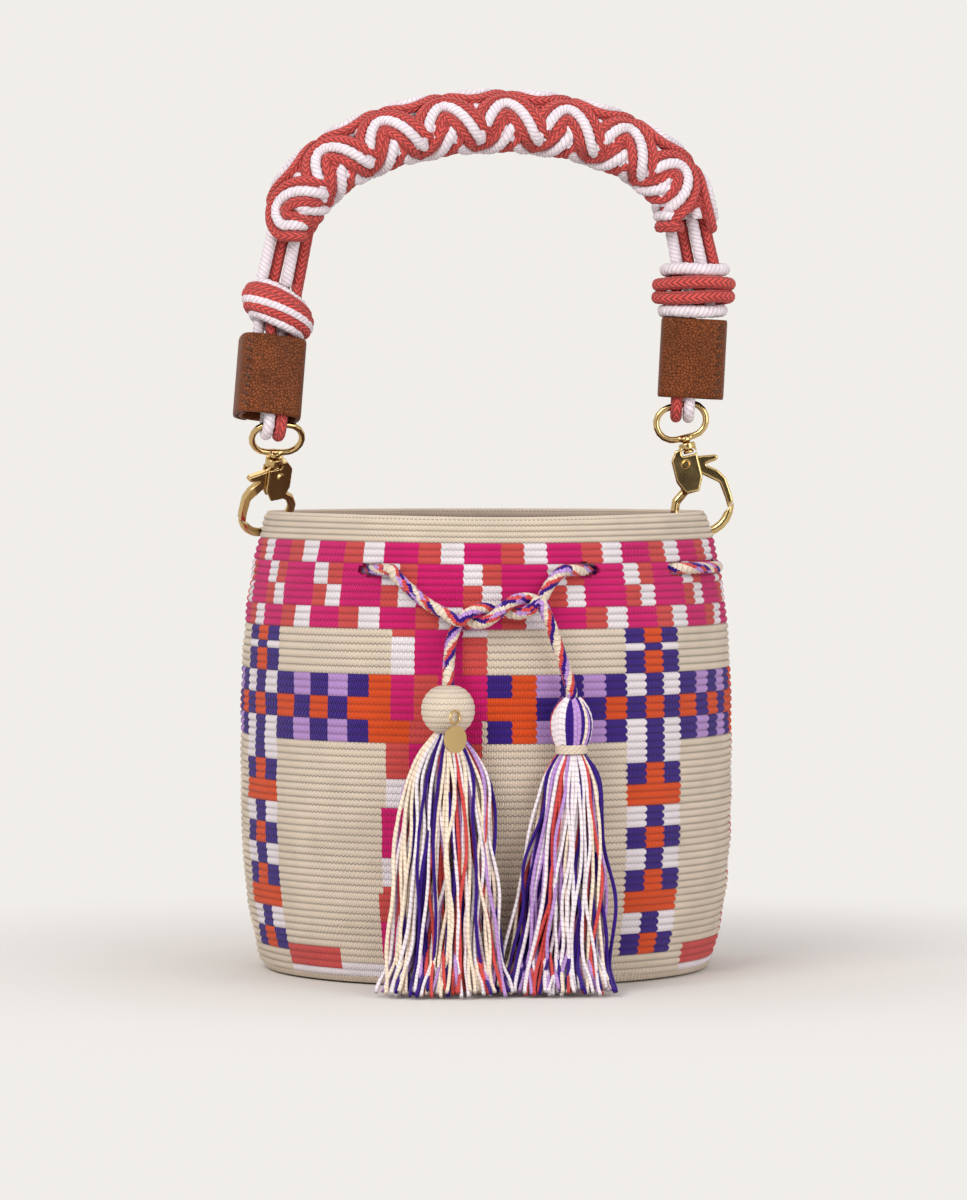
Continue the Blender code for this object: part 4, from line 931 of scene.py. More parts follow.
def base_piece(name, z, radius, inside):
    """A round base worked in rings, flat on its lower side."""
    columns, rings = BASE_GRID
    points, v = [], []
    for i in range(rings * 2 + 1):
        share = i / (rings * 2)
        r = radius * share + 0.0005
        groove = 0.0004 if i % 2 == 0 else 0.0
        corner = 0.0 if inside else CORNER * max(0.0, (r - radius + CORNER) / CORNER) ** 2
        height = z - groove if inside else z + groove + corner
        a = np.arange(columns) * 2 * math.pi / columns
        points.append(np.stack([r * np.sin(a), -r * np.cos(a), np.full(columns, height)], -1))
        v.append(i / 2)
    points, v = np.array(points), np.array(v)
    faces = grid_faces(len(v), columns, True)
    if inside:
        faces = faces[:, ::-1]
    u_low = np.tile(np.arange(columns) * 0.75, len(v) - 1)
    uvs = grid_uvs(u_low, u_low + 0.75, np.repeat(v[:-1], columns), np.repeat(v[1:], columns))
    if inside:
        uvs = uvs[:, ::-1]
    return mesh_object(name, points.reshape(-1, 3), faces, crochet_materials(), None, uvs)


class BAG_OT_body(bpy.types.Operator):
    """Works the wall, rim, base and inside of the bag in coloured crochet"""

    bl_idname = "bucket_bag.body"
    bl_label = "Crochet body"

    def execute(self, context):
        zones = (("crochet_rim", 0, RIM_ROWS), ("crochet_check_band", RIM_ROWS, BAND_ROWS),
                 ("crochet_upper_wall", BAND_ROWS, UPPER_WALL_END),
                 ("crochet_lower_wall", UPPER_WALL_END, ALL_ROWS))
        inside = (("crochet_inside_upper", 0, INSIDE_SPLIT), ("crochet_inside_lower", INSIDE_SPLIT, ALL_ROWS))
        low = outer_radius(CORNER)
        pieces = [wall_piece(*zone) for zone in zones]
        pieces += [wall_piece(*zone, True) for zone in inside]
        pieces += [rim_top(), base_piece("crochet_base", 0.0, low - BASE_INSET, False),
                   base_piece("crochet_base_inside", BASE_FLOOR, low - WALL, True)]
        for piece in pieces:
            place(piece, "bag", "natural_yarn", "crochet_body")
        return {"FINISHED"}


def lace_piece(name, path, body_nodes):
    """A braided lace: eight strands in four colours that wind round it."""
    radius = sizes().cord_diameter / 2
    sides = 24
    path = np.asarray(path)
    rings, turn, lengths = twisted_tube(path, radius, sides, BRAID_STRANDS, BRAID_PITCH, 0.30)
    rows = len(path)
    faces = grid_faces(rows, sides, True)[:, ::-1]
    _, j = np.meshgrid(np.arange(rows - 1), np.arange(sides), indexing="ij")
    count = BRAID_STRANDS
    lobe = ((j + 0.5) / sides * count - turn[:-1][:, None] * count / (2 * math.pi)) % count
    patch = np.floor(lengths[:-1][:, None] / BRAID_PATCH + lobe * 0.5).astype(int)
    strand = np.array(BRAID_ORDER)[np.floor(lobe).astype(int) % count]
    swapped = np.where((patch % 4 == 1) & (strand != 0), (strand % 3) + 1, strand)
    uvs = tube_uvs(lengths, sides)[:, ::-1]
    capped, fans = close_ends(rings.reshape(-1, 3), sides)
    all_faces = [tuple(map(int, f)) for f in faces] + fans
    corner = [tuple(map(float, pair)) for quad in uvs for pair in quad] + [(0.0, 0.0)] * (3 * len(fans))
    indices = list(swapped.ravel()) + [0] * len(fans)
    made = mesh_object(name, capped, all_faces, yarn_materials(), indices, corner)
    return place(made, "bag", "cord_yarn", *body_nodes)


class BAG_OT_drawstring(bpy.types.Operator):
    """Braids the drawstring: the run through the wall and its two crossed ends"""

    bl_idname = "bucket_bag.drawstring"
    bl_label = "Drawstring"

    def execute(self, context):
        run = even_route(np.array([(x, y, CORD_HEIGHT) for x, y in RUN_ROUTE]), RUN_SPACING)
        lace_piece("drawstring_run", run, ("drawstring",))
        ends = (("right", RIGHT_END_ROUTE,
                 ("left_tassel_strands", "tassel_ball_crochet", "charm_ring", "charm_disc")),
                ("left", LEFT_END_ROUTE,
                 ("right_tassel_strands", "tassel_head_strands", "tassel_binding_thread")))
        for name, route, carried in ends:
            path = smooth_route(route, LACE_SPACING)
            lace = lace_piece(f"drawstring_{name}_lace", path, (f"drawstring_{name}_end",))
        return {"FINISHED"}


def strand_points(rng, neck, widths, lean, radius, share, angle):
    """Points that one strand falls through, from the neck to its end on the floor."""
    upper_width, middle_width, end_width = widths
    across, along = share * math.cos(angle), share * math.sin(angle)
    drift = rng.uniform(-1, 1)
    top = Vector((neck[0] + across * 0.0047, neck[1] + along * 0.0042, neck[2] + 0.001))
    upper = Vector((neck[0] + across * upper_width / 2 + lean * 0.1,
                    neck[1] + along * SKIRT_DEPTH * 0.36 - 0.001, neck[2] * 0.80))
    middle = Vector((neck[0] + across * middle_width / 2 + lean * 0.45 + drift * 0.0022,
                     neck[1] + along * SKIRT_DEPTH * 0.44 - 0.0022, neck[2] * rng.uniform(0.42, 0.50)))
    low_z = 0.0095 + radius + (0.011 if along < 0 else 0.004) * (1 - share) + rng.uniform(0, 0.003)
    spread = across * end_width / 2 + lean + rng.uniform(-1, 1) * 0.0024
    low = Vector((neck[0] + spread * 0.93, neck[1] + along * SKIRT_DEPTH * 0.46 - 0.004, low_z))
    reach = SKIRT_TOE * (0.30 + 0.70 * (1 - along) / 2) * rng.uniform(0.80, 1.0)
    end_z = radius + 0.0003 + max(0.0, along) * 0.003 + rng.uniform(0, 1) * 0.0026
    end_x = neck[0] + spread + across * 0.0015 + rng.uniform(-1, 1) * 0.003
    end = Vector((end_x, neck[1] - reach, end_z))
    return [top, top.lerp(upper, 0.45) + Vector((across * 0.0022, 0, 0)), upper, upper.lerp(middle, 0.55),
            middle, middle.lerp(low, 0.55), low, low.lerp(end, 0.6), end]


def skirt_strands(name, neck, widths, palette, seed, lean):
    """Loose wavy strands that spill from a neck, fill out and spread over the floor towards the front."""
    rng = random.Random(seed)
    radius = sizes().strand_diameter / 2
    golden = math.pi * (3 - math.sqrt(5))
    strands = []
    for i in range(SKIRT_COUNT):
        share = math.sqrt((i + 0.5) / SKIRT_COUNT)
        points = strand_points(rng, neck, widths, lean, radius, share, i * golden)
        path = smooth_route([tuple(p) for p in points], STRAND_SPACING)
        falls = np.linspace(0, 1, len(path))
        sway = rng.uniform(0.0006, 0.0015) * np.sin(falls * rng.uniform(9, 16) + rng.uniform(0, 6.3))
        path[:, 0] += sway * np.sin(math.pi * falls) ** 0.5
        path[:, 1] += 0.5 * sway[::-1] * np.sin(math.pi * falls) ** 0.5
        path[:, 2] = np.maximum(path[:, 2], radius + 0.0002)
        colour = palette[int(rng.random() * len(palette))]
        strands.append((path, radius * rng.uniform(0.88, 1.08), colour, STRAND_LAY))
    return rope_object(name, strands, tassel_materials())


def crochet_ball():
    """The ball head of the left tassel, worked round and round."""
    rows, columns = BALL_GRID
    points, v = [], []
    for i in range(rows):
        share = i / (rows - 1)
        fall = math.pi * share
        row = share * BALL_ROWS
        bulge = 0.94 + 0.03 * abs(math.sin(math.pi * row)) ** 0.7
        a = np.arange(columns) * 2 * math.pi / columns
        wave = 1 + 0.012 * np.where(np.arange(columns) % 2 == 0, 1, -1)
        r = BALL_RADIUS * math.sin(fall) ** 0.85 * bulge * wave
        z = BALL_CENTRE[2] + BALL_HEIGHT / 2 * math.cos(fall)
        points.append(np.stack([BALL_CENTRE[0] + r * np.sin(a), BALL_CENTRE[1] - r * np.cos(a),
                                np.full(columns, z)], -1))
        v.append(row)
    points, v = np.array(points), np.array(v)
    faces = grid_faces(rows, columns, True)[:, ::-1]
    u_low = np.tile(np.arange(columns) / 2, rows - 1)
    uvs = grid_uvs(u_low, u_low + 0.5, np.repeat(v[:-1], columns), np.repeat(v[1:], columns))[:, ::-1]
    cotton = material_of("ball_cotton",
                         lambda: crochet_material("ball_cotton", shade(colours().natural, 1.12)))
    return mesh_object("tassel_ball_crochet", points.reshape(-1, 3), faces, [cotton], None, uvs)


def folded_head():
    """The right tassel's head: strands folded over the cord and drawn in at the binding."""
    rng = random.Random(HEAD_SEED)
    x, y = RIGHT_NECK[:2]
    strands = []
    for i in range(HEAD_STRANDS):
        angle = 2 * math.pi * i / HEAD_STRANDS + 0.1
        wide = Vector((math.cos(angle) * HEAD_HALVES[0], math.sin(angle) * HEAD_HALVES[1]))
        points = []
        for step in range(HEAD_STEPS + 1):
            t = step / HEAD_STEPS
            swell = math.sin(math.pi * (0.06 + 0.86 * t)) ** 0.55
            z = HEAD_TOP - 0.001 - HEAD_DROP * t + 0.0006 * math.sin(angle * 5)
            inward = 0.42 + 0.58 * swell if t > 0.5 else swell
            points.append((x + wide[0] * inward, y + wide[1] * inward, z))
        path = smooth_route(points, HEAD_SPACING)
        white = 0.6 > math.cos(angle + 0.9) > -0.2
        colour = 4 if white else HEAD_PALETTE[int(rng.random() * len(HEAD_PALETTE))]
        strands.append((path, HEAD_STRAND_RADIUS, colour, HEAD_LAY))
    return rope_object("tassel_head_strands", strands, tassel_materials())


def wound_binding():
    """Thread wound round the neck of the right tassel."""
    x, y = RIGHT_NECK[:2]
    steps = BINDING_TURNS * BINDING_STEPS
    points = []
    for i in range(steps + 1):
        angle = 2 * math.pi * i / BINDING_STEPS
        z = BINDING_LOW + BINDING_HEIGHT * i / steps
        points.append((x + BINDING_RADIUS * math.cos(angle), y + BINDING_RADIUS * math.sin(angle), z))
    return rope_object("tassel_binding_thread", [(np.array(points), BINDING_THREAD, 0, BINDING_LAY)],
                       yarn_materials())


class BAG_OT_tassels(bpy.types.Operator):
    """Makes both tassels: ball, folded head, binding and every strand of the skirts"""

    bl_idname = "bucket_bag.tassels"
    bl_label = "Tassels"

    def execute(self, context):
        place(skirt_strands("left_tassel_strands", *LEFT_SKIRT), "bag", "natural_yarn", "left_tassel_skirt")
        place(skirt_strands("right_tassel_strands", *RIGHT_SKIRT), "bag", "cord_yarn", "right_tassel_skirt")
        place(crochet_ball(), "bag", "natural_yarn", "left_tassel_ball")
        place(folded_head(), "bag", "cord_yarn", "right_tassel_head")
        place(wound_binding(), "bag", "natural_yarn", "right_tassel_binding")
        return {"FINISHED"}


def arch_frame(s):
    """Place and axes (tangent, across, thick) on the arch at a share of its way from left to right."""
    left, right = Vector(LEFT_ARCH_END), Vector(RIGHT_ARCH_END)
    theta = math.pi * (1 - s)
    middle, half = (left + right) / 2, (right - left) / 2
    spot = middle + half * math.cos(theta) + Vector((0, 0, 1)) * ARCH_RISE * math.sin(theta)
    tangent = (half * math.sin(theta) - Vector((0, 0, 1)) * ARCH_RISE * math.cos(theta)).normalized()
    back = Vector((0, 1, 0))
    back = (back - tangent * back.dot(tangent)).normalized()
    out = tangent.cross(back)
    c, d = math.cos(math.radians(ARCH_TILT)), math.sin(math.radians(ARCH_TILT))
    return spot, tangent, back * c + out * d, out * c - back * d


def arch_table():
    """Even places along the arch: the share of the angle for each share of the length."""
    shares = np.linspace(0, 1, 400)
    points = np.array([tuple(arch_frame(s)[0]) for s in shares])
    lengths = np.concatenate([[0], np.cumsum(np.linalg.norm(np.diff(points, axis=0), axis=1))])
    return shares, lengths


class BandSurface:
    """The curved band that the handle's working ropes lie on."""

    def __init__(self):
        self.shares, self.lengths = arch_table()
        self.length = self.lengths[-1]

    def at(self, length, angle, lift=0.0):
        """Place on the band and its outward direction."""
        share = float(np.interp(length, self.lengths, self.shares))
        centre, tangent, across, thick = arch_frame(share)
        beyond = length - min(max(length, 0.0), self.length)
        centre = centre + tangent * beyond
        half_across, half_thick = BAND_HALF
        out = (across * math.cos(angle) / half_across + thick * math.sin(angle) / half_thick).normalized()
        point = centre + across * half_across * math.cos(angle) + thick * half_thick * math.sin(angle)
        return point + out * lift, out


def across_rope(path, outs):
    """Unit directions along the band's skin and square to a rope that lies on it."""
    along = np.gradient(path, axis=0)
    along /= np.linalg.norm(along, axis=1)[:, None]
    side = np.cross(along, outs)
    return side / np.linalg.norm(side, axis=1)[:, None]


def sinnet_ropes(surface):
    """Centre lines of the two doubled working ropes of the square-knot band."""
    knots = int(round(surface.length / KNOT_PITCH))
    pitch = surface.length / knots
    lines = []
    for pair in (0, 1):
        for strand in (-1, 1):
            points = []
            sign = -1 if pair else 1
            for i in range(knots * STEPS_PER_KNOT + 1):
                tau = i / STEPS_PER_KNOT
                swing = math.sin(math.pi / 2 * math.cos(math.pi * tau))
                phi = math.radians(270) - math.radians(90 + WRAP_ANGLE) * swing - math.pi * pair
                length = pitch * (tau + KNOT_EASE * math.sin(2 * math.pi * tau) / (2 * math.pi))
                lift = KNOT_LIFT * math.cos(2 * math.pi * tau) * sign
                spot, out = surface.at(length, phi, lift)
                points.append((spot, out))
            path = np.array([tuple(p) for p, _ in points])
            outs = np.array([tuple(o) for _, o in points])
            lines.append((path + across_rope(path, outs) * STRAND_OFFSET * strand, pair, strand))
    return lines


def edge_arc(surface, start, period, edge, upper):
    """Centre line and outward directions of one long arc of doubled rope at an edge of the band."""
    points = []
    side = 1 if upper else -1
    for i in range(ARC_STEPS + 1):
        t = i / ARC_STEPS
        arch = ARC_SWELL * math.sin(math.pi * min(1.0, t * 1.04) ** 0.82)
        rise = ARC_RISE * (arch - 0.36 * (1 - t) ** 3 - 0.30 * t**3)
        angle = 180 - side * rise if edge == "near" else side * rise
        sink = ARC_SINK * (abs(2 * t - 1) ** 5)
        length = min(max(start + period * ARC_SPAN * t, -0.001), surface.length + 0.001)
        spot, out = surface.at(length, math.radians(angle), ARC_LIFT - sink)
        points.append((spot, out))
    return np.array([tuple(p) for p, _ in points]), np.array([tuple(o) for _, o in points])


def arc_strands(surface):
    """All arcs along both edges; each is a coral and a white rope side by side over another coral one."""
    periods = ARCS_PER_EDGE
    period = surface.length / periods
    made = []
    for edge in ("near", "far"):
        for k in range(2 * periods):
            upper = (k % 2 == 0) == (edge == "near")
            start = period * (k / 2 - 0.30)
            middle, outs = edge_arc(surface, start, period, edge, upper)
            side = across_rope(middle, outs)
            outward = 1 if upper == (edge == "near") else -1
            for offset, lift, colour in ARC_ROPES:
                path = middle + side * offset * outward * ARC_SIDE + outs * lift
                made.append((even_route(path, ARC_SPACING), colour))
    return made


class BAG_OT_handle(bpy.types.Operator):
    """Knots the handle: the arched band of square knots over its core ropes"""

    bl_idname = "bucket_bag.handle"
    bl_label = "Knotted handle"

    def execute(self, context):
        surface = BandSurface()
        radius = sizes().rope_diameter / 2
        strands = []
        for path, pair, strand in sinnet_ropes(surface):
            colour = 0 if strand == (1 if pair else -1) else 1
            strands.append((even_route(path, SINNET_SPACING), radius, colour, ARCH_LAYS[colour]))
        for path, colour in arc_strands(surface):
            strands.append((path, radius * (0.96 if colour else 1.0), colour, ARCH_LAYS[colour]))
        for n in range(4):
            points = []
            for share in np.linspace(0, 1, 60):
                centre, _, across, _ = arch_frame(float(share))
                points.append(tuple(centre + across * (n - 1.5) * ARCH_CORE_PITCH))
            strands.append((np.array(points), radius, n % 2, ARCH_LAYS[n % 2]))
        made = rope_object("sinnet_ropes", strands, rope_materials())
        place(made, "handle", "coral_rope", "handle_sinnet")
        return {"FINISHED"}


def frame_matrix(frame_values):
    """Turns a place and three axes into a matrix."""
    spot, x, y, z = (Vector(v) for v in frame_values)
    turned = Matrix((x.normalized(), y.normalized(), z.normalized())).transposed().to_4x4()
    return Matrix.Translation(spot) @ turned


def sleeve_matrix(name):
    """Frame of a leather sleeve."""
    return frame_matrix(LEFT_SLEEVE if name == "left" else RIGHT_SLEEVE)


def knot_matrix(name):
    """Frame of a stopper knot."""
    return frame_matrix(LEFT_KNOT if name == "left" else RIGHT_KNOT)


def wound_turn(matrix, height, half_width, half_depth, slant, wobble):
    """One closed turn of rope round a knot, as a path."""
    points = []
    for i in range(TURN_STEPS + 1):
        a = 2 * math.pi * i / TURN_STEPS
        x, y = half_width * math.cos(a), half_depth * math.sin(a)
        z = height + slant * x + wobble * math.sin(2 * a + height * 300)
        points.append(tuple(matrix @ Vector((x, y, z))))
    return np.array(points)


def stopper_knot(name):
    """Turns of both ropes wound over each other round the core, slanted on the left side."""
    matrix = knot_matrix(name)
    width, height = KNOT_SIZES[name]
    radius = sizes().rope_diameter / 2
    turns = KNOT_TURNS[name]
    thick = radius * KNOT_THICKNESS[name]
    low = radius * 0.9 + LEFT_KNOT_ROOM if name == "left" else 0.0
    strands = []
    for i, colour in enumerate(turns):
        share = (i + 0.5) / len(turns)
        swell = math.sqrt(max(0.0, 1 - (2 * share - 1) ** 2 * 0.55))
        level = low + (height - 2 * low) * share
        half = width / 2 * swell - thick
        path = wound_turn(matrix, level, half, half * 0.76, KNOT_SLANTS[name] * SIGNS[name], 0.0004)
        strands.append((path, thick * (1.0 if colour else 1.04), colour, KNOT_LAYS[colour]))
    for n in range(4):
        across = (n - 1.5) * ROPE_ROW_PITCH
        points = [tuple(matrix @ Vector((across * 0.9, 0.0016 * (-1) ** n, z)))
                  for z in np.linspace(0.001, height - 0.001, 16)]
        strands.append((np.array(points), radius, n % 2, HIDDEN_LAY))
    return rope_object(f"{name}_knot_turns", strands, rope_materials())


def core_rope(name, number):
    """One of the four straight ropes between the stopper knot and the arch."""
    matrix = knot_matrix(name) @ Matrix.Translation((0, 0, KNOT_SIZES[name][1]))
    end = Vector(LEFT_ARCH_END if name == "left" else RIGHT_ARCH_END)
    along = (end - matrix.translation).normalized()
    sign = SIGNS[name]
    across = (number - 1.5) * ROPE_ROW_PITCH
    back = ROPE_ZIGZAG * (1 if number % 2 else -1)
    foot = matrix @ Vector((sign * across, sign * back, 0)) - along * 0.002
    head = end + Vector((across * 0.9, back * 1.2, 0)) + along * 0.004
    path = np.array([tuple(foot.lerp(head, i / CORE_STEPS)) for i in range(CORE_STEPS + 1)])
    colour = CORE_COLOURS[number]
    strand = (path, sizes().rope_diameter / 2 * 1.04, colour, CORE_LAYS[colour])
    made = rope_object(f"{name}_rope_{number + 1}", [strand], rope_materials())
    return place(made, "handle", "white_rope" if colour else "coral_rope", f"{name}_core_rope_{number + 1}")


def rope_loop(name, number):
    """A rope that comes down the sleeve, round the eye's bar and back up."""
    matrix = sleeve_matrix(name)
    x = LOOP_SHIFT + (number - 1.5) * LOOP_PITCH
    top = SLEEVE_LOWS[name] + SLEEVE_SIZE[2] - 0.001
    points = [(x, -LOOP_RADIUS, top * share) for share in (1, 0.75, 0.5)]
    points += [(x, -LOOP_RADIUS * math.cos(math.radians(a)), -LOOP_RADIUS * math.sin(math.radians(a)))
               for a in range(0, 181, 20)]
    points += [(x, LOOP_RADIUS, top * share) for share in (0.5, 0.75, 1)]
    path = smooth_route([tuple(matrix @ Vector(p)) for p in points], LOOP_SPACING)
    colour = 0 if number == 1 else 1
    strand = (path, sizes().rope_diameter / 2, colour, LOOP_LAYS[colour])
    made = rope_object(f"{name}_loop_{number}", [strand], rope_materials())
    return place(made, "handle", "white_rope" if colour else "coral_rope", f"{name}_rope_loop_{number}")


def sleeve_section(name, turns, layer):
    """A point of the rolled leather, this many turns from its start; layer is 0 inside and 1 outside."""
    a = 2 * math.pi * turns + math.radians(SLEEVE_START)
    width, depth, _ = SLEEVE_SIZE
    lift = (LEATHER + SHEET_GAP) * min(1.0, max(0.0, (turns - 0.8) / 0.18))
    reach = lift + LEATHER * layer - LEATHER
    x = math.copysign(abs(math.cos(a)) ** 0.6, math.cos(a)) * (width / 2 + reach)
    y = math.copysign(abs(math.sin(a)) ** 0.6, math.sin(a)) * (depth / 2 + reach) * SIGNS[name]
    return x + SLEEVE_SHIFT, y


def sleeve_caps(half, columns, last_level, mirrored):
    """Quads that close the rolled sheet's thickness at its lower and upper end."""
    outer = [half + 1 + i for i in range(half)]
    inner = [half - 1 - i for i in range(half)]
    caps = []
    for level, flip in ((0, False), (last_level, True)):
        start = level * columns
        for i in range(half - 1):
            quad = (start + inner[i], start + inner[i + 1], start + outer[i + 1], start + outer[i])
            caps.append(quad if flip == mirrored else quad[::-1])
    return caps


def leather_sleeve(name):
    """Rolled leather with soft edges."""
    matrix = sleeve_matrix(name)
    low, height = SLEEVE_LOWS[name], SLEEVE_SIZE[2]
    steps, levels = SLEEVE_GRID
    turns = np.linspace(0, SLEEVE_TURNS, steps)
    loop = [(t, 0.0) for t in turns[::-1]] + [(turns[0] - 0.004, 0.5)]
    loop += [(t, 1.0) for t in turns] + [(turns[-1] + 0.004, 0.5)]
    points = []
    for level in range(levels):
        z = low + height * level / (levels - 1)
        from_edge = min(z - low, low + height - z)
        soft = max(0.0, 1 - from_edge / SLEEVE_EDGE) ** 2
        for t, layer in loop:
            shown = layer + SLEEVE_EDGE_INSET * soft * (0.5 - layer)
            x, y = sleeve_section(name, t, shown)
            points.append(tuple(matrix @ Vector((x, y, z))))
    columns = len(loop)
    faces = grid_faces(levels, columns, True)
    if name == "left":
        faces = faces[:, ::-1]
    caps = sleeve_caps(len(turns), columns, levels - 1, name == "left")
    all_faces = [tuple(map(int, f)) for f in faces] + caps
    leather = material_of("pebbled_leather", leather_material)
    made = mesh_object(f"{name}_sleeve_leather", points, all_faces, [leather])
    return place(made, "handle", "brown_leather", f"{name}_leather_sleeve")


def sleeve_stitches(name):
    """Separate stitches of waxed thread along the overlap's edge."""
    matrix = sleeve_matrix(name)
    low, height = SLEEVE_LOWS[name], SLEEVE_SIZE[2]
    strands = []
    for i in range(STITCH_COUNT):
        z = low + STITCH_MARGIN + (height - 2 * STITCH_MARGIN) * i / (STITCH_COUNT - 1)
        points = []
        for step in range(STITCH_STEPS + 1):
            share = step / STITCH_STEPS
            turn = STITCH_START + STITCH_TURN * share
            lift = 0.2 + 0.45 * math.sin(math.pi * share) ** 0.5
            x, y = sleeve_section(name, turn, 1.0 + lift * 0.35)
            points.append(tuple(matrix @ Vector((x, y, z + (share - 0.5) * 0.0016))))
        strands.append((np.array(points), STITCH_RADIUS, 0, STITCH_LAY))
    thread = material_of("waxed_thread", lambda: yarn_material("waxed_thread", colours().thread, 0.0012, 2.0))
    made = rope_object(f"{name}_stitches", strands, [thread])
    return place(made, "handle", "tan_thread", f"{name}_sleeve_stitching")


class BAG_OT_rope_ends(bpy.types.Operator):
    """Winds the stopper knots, the core ropes and the loops round the clasps' eyes"""

    bl_idname = "bucket_bag.rope_ends"
    bl_label = "Knots and rope ends"

    def execute(self, context):
        for name in SIGNS:
            place(stopper_knot(name), "handle", "coral_rope", f"{name}_stopper_knot")
            for number in range(4):
                core_rope(name, number)
            for number in (1, 2):
                rope_loop(name, number)
        return {"FINISHED"}


class BAG_OT_sleeves(bpy.types.Operator):
    """Rolls and stitches the leather sleeves"""

    bl_idname = "bucket_bag.sleeves"
    bl_label = "Leather sleeves"

    def execute(self, context):
        for name in SIGNS:
            leather_sleeve(name)
            sleeve_stitches(name)
        return {"FINISHED"}


def gilded(node):
    """Gives a metal part its plating."""
    metal = material_of("gilt", gilt_material)
    part = bpy.data.objects[node]
    if not part.material_slots:
        part.data.materials.append(metal)
    for piece_slot in part.material_slots:
        piece_slot.material = metal
    return part


def cast_edges(part):
    """Softens a clasp's part all over, as die-cast and tumbled metal is."""
    skin = part.modifiers.new("cast_skin", "REMESH")
    skin.mode = "VOXEL"
    skin.voxel_size = CAST_VOXEL
    skin.use_smooth_shade = True
    tumbled = part.modifiers.new("tumbled_edges", "SMOOTH")
    tumbled.factor = 0.5
    tumbled.iterations = CAST_PASSES


def rounded_edges(part):
    """Rounds the edges of a turned or stamped part."""
    round_off = part.modifiers.new("rounded_edges", "BEVEL")
    round_off.width = 0.0008
    round_off.segments = 4
    round_off.limit_method = "ANGLE"
    round_off.angle_limit = math.radians(35)
    round_off.harden_normals = True


class BAG_OT_clasps(bpy.types.Operator):
    """Plates the clasps and the charm in pale gold"""

    bl_idname = "bucket_bag.clasps"
    bl_label = "Clasps and charm"

    def execute(self, context):
        for name in SIGNS:
            for part in ("clasp_eye", "hook", "trigger"):
                cast_edges(gilded(f"{name}_{part}"))
            for part in ("rivet", "trigger_spring"):
                rounded_edges(gilded(f"{name}_{part}"))
        for part in ("charm_ring", "charm_disc"):
            rounded_edges(gilded(part))
        return {"FINISHED"}


def seen_directly(tree):
    """1 for the rays that show the backdrop itself: from the camera, or by way of gloss or glass."""
    rays = tree.nodes.new("ShaderNodeLightPath")
    seen = rays.outputs["Is Camera Ray"]
    for kind in ("Is Glossy Ray", "Is Transmission Ray"):
        either = tree.nodes.new("ShaderNodeMath")
        either.operation = "MAXIMUM"
        tree.links.new(seen, either.inputs[0])
        tree.links.new(rays.outputs[kind], either.inputs[1])
        seen = either.outputs[0]
    return seen


def mixed_output(tree, share, first, second, output):
    """Shows the first shader, or the second where the share is 1."""
    mix = tree.nodes.new("ShaderNodeMixShader")
    for source, socket in zip((share, first, second), mix.inputs):
        tree.links.new(source, socket)
    tree.links.new(mix.outputs[0], tree.nodes[output].inputs[0])


def floor_material():
    """Pale paper that takes the bag's shadow and passes into the plain backdrop further out."""
    n = Nodes("pale_floor", 0.9)
    n.colour(tint(FLOOR_COLOUR))
    n.shader.inputs["Specular IOR Level"].default_value = 0.1
    length = n.add("ShaderNodeVectorMath", operation="LENGTH")
    n.link(n.add("ShaderNodeTexCoord").outputs["Object"], length.inputs[0])
    far = n.ramp(length.outputs["Value"], *FLOOR_FADE, interpolation="SMOOTHSTEP")
    glow = n.add("ShaderNodeEmission")
    glow.inputs["Color"].default_value = (*tint(WALL_COLOUR), 1.0)
    share = n.math("MULTIPLY", seen_directly(n.tree), far)
    mixed_output(n.tree, share, n.shader.outputs[0], glow.outputs[0], "Material Output")
    return n.material


def studio_world(scene):
    """Even ambient light, with a plain backdrop wherever it is seen directly."""
    world = bpy.data.worlds.new("studio")
    world.use_nodes = True
    scene.world = world
    tree = world.node_tree
    background = tree.nodes["Background"]
    background.inputs["Color"].default_value = AMBIENT_COLOUR
    background.inputs["Strength"].default_value = AMBIENT_STRENGTH
    shown = tree.nodes.new("ShaderNodeBackground")
    shown.inputs["Color"].default_value = (*tint(WALL_COLOUR), 1.0)
    mixed_output(tree, seen_directly(tree), background.outputs[0], shown.outputs[0], "World Output")


def add_lamp(name, location, aim, size, power, colour):
    """A soft rectangular lamp, turned towards a point."""
    data = bpy.data.lights.new(name, "AREA")
    data.shape = "RECTANGLE"
    data.size, data.size_y = size
    data.energy = power
    data.color = colour
    lamp = bpy.data.objects.new(name, data)
    lamp.location = location
    lamp.rotation_euler = (Vector(aim) - Vector(location)).to_track_quat("-Z", "Y").to_euler()
    bpy.context.scene.collection.objects.link(lamp)


def dark_flag(name, x, y, turn, half):
    """A dark panel beside or behind the camera that only shows in polished metal."""
    high = FLAG_HALF_HEIGHT
    corners = [Vector(c) for c in ((-half, 0, -high), (half, 0, -high), (half, 0, high), (-half, 0, high))]
    turned = Matrix.Translation((x, y, FLAG_HEIGHT)) @ Matrix.Rotation(math.radians(turn), 4, "Z")
    cloth = Nodes(name + "_cloth", 0.95)
    cloth.colour(FLAG_COLOUR)
    made = mesh_object(name, [turned @ c for c in corners], [(0, 1, 2, 3)], [cloth.material])
    made.visible_camera = False
    made.visible_diffuse = False
    made.visible_shadow = False
    return made


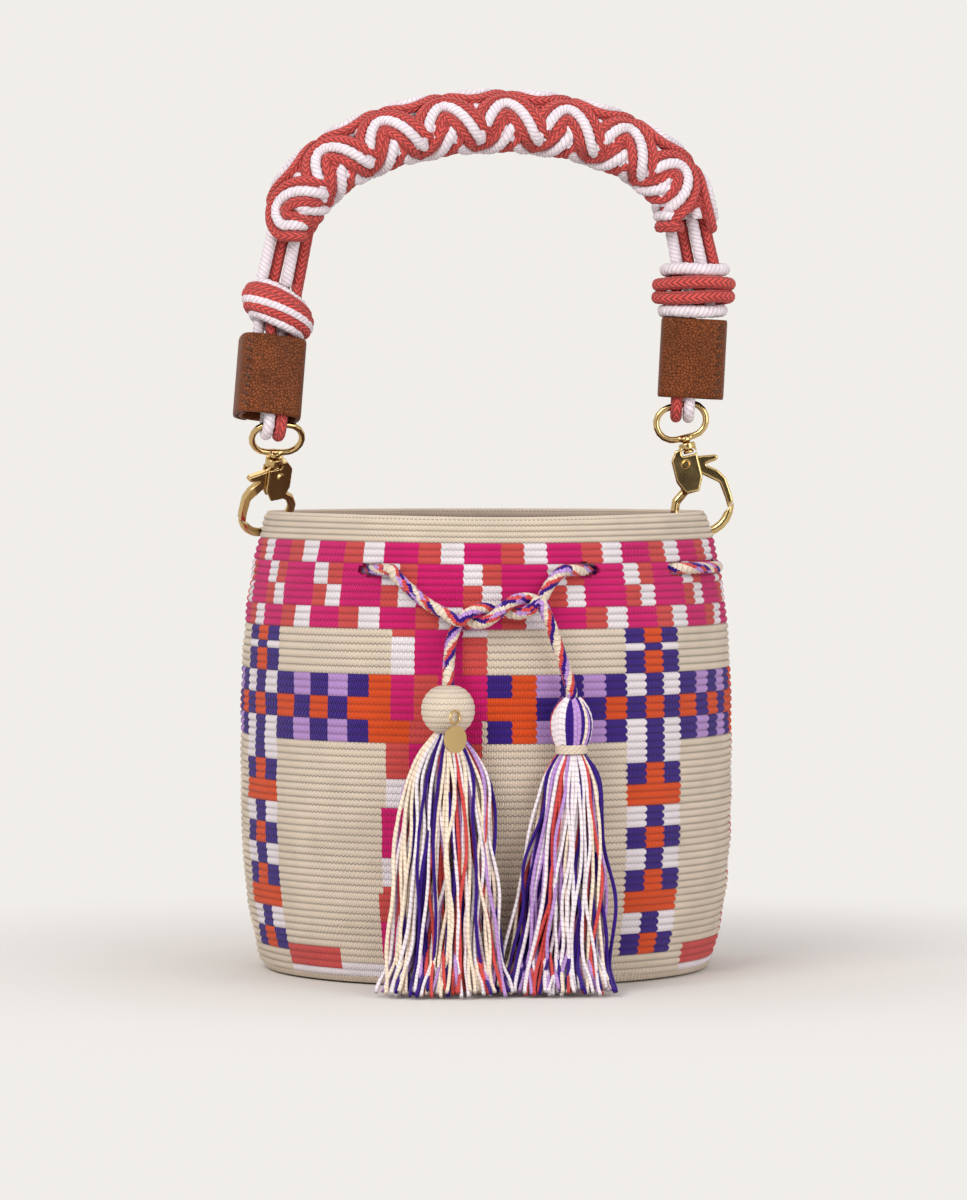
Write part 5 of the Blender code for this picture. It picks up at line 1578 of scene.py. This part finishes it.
def add_camera(scene):
    """The camera that sees the bag as the photo does."""
    data = bpy.data.cameras.new("camera")
    data.lens = CAMERA_LENS
    data.sensor_width = 36
    data.clip_end = 60
    camera = bpy.data.objects.new("camera", data)
    camera.location = CAMERA_PLACE
    camera.rotation_euler = (math.radians(90 - CAMERA_PITCH), 0, 0)
    scene.collection.objects.link(camera)
    scene.camera = camera


class BAG_OT_stage(bpy.types.Operator):
    """Sets up the pale floor, the soft studio light and the camera"""

    bl_idname = "bucket_bag.stage"
    bl_label = "Stage, light and camera"

    def execute(self, context):
        scene = context.scene
        scene.view_settings.view_transform = "Standard"
        half = FLOOR_HALF
        corners = ((-half, -half), (half, -half), (half, half), (-half, half))
        points = [(x, y, -FLOOR_DROP) for x, y in corners]
        mesh_object("floor", points, [(0, 1, 2, 3)], [floor_material()])
        studio_world(scene)
        for lamp in LAMPS:
            add_lamp(*lamp)
        for flag in DARK_FLAGS:
            dark_flag(*flag)
        add_camera(scene)
        return {"FINISHED"}


STEPS = (BAG_OT_stage, BAG_OT_body, BAG_OT_tassels, BAG_OT_drawstring, BAG_OT_handle, BAG_OT_rope_ends,
         BAG_OT_sleeves, BAG_OT_clasps)


class BAG_PT_panel(bpy.types.Panel):
    """Lists the steps that build the bag"""

    bl_idname = "BAG_PT_panel"
    bl_label = "Bucket bag"
    bl_space_type = "VIEW_3D"
    bl_region_type = "UI"
    bl_category = "Bucket bag"

    def draw(self, context):
        for step in STEPS:
            self.layout.operator(step.bl_idname)
        for group in (context.scene.bag_colours, context.scene.bag_sizes):
            for name in group.__annotations__:
                self.layout.prop(group, name)


CLASSES = (BagColours, BagSizes, *STEPS, BAG_PT_panel)


def register():
    for each in CLASSES:
        bpy.utils.register_class(each)
    bpy.types.Scene.bag_colours = PointerProperty(type=BagColours)
    bpy.types.Scene.bag_sizes = PointerProperty(type=BagSizes)


def unregister():
    del bpy.types.Scene.bag_sizes
    del bpy.types.Scene.bag_colours
    for each in reversed(CLASSES):
        bpy.utils.unregister_class(each)


def main():
    """Builds the bag on its stage."""
    register()
    for step in STEPS:
        group, name = step.bl_idname.split(".")
        getattr(getattr(bpy.ops, group), name)()


if __name__ == "__main__":
    main()
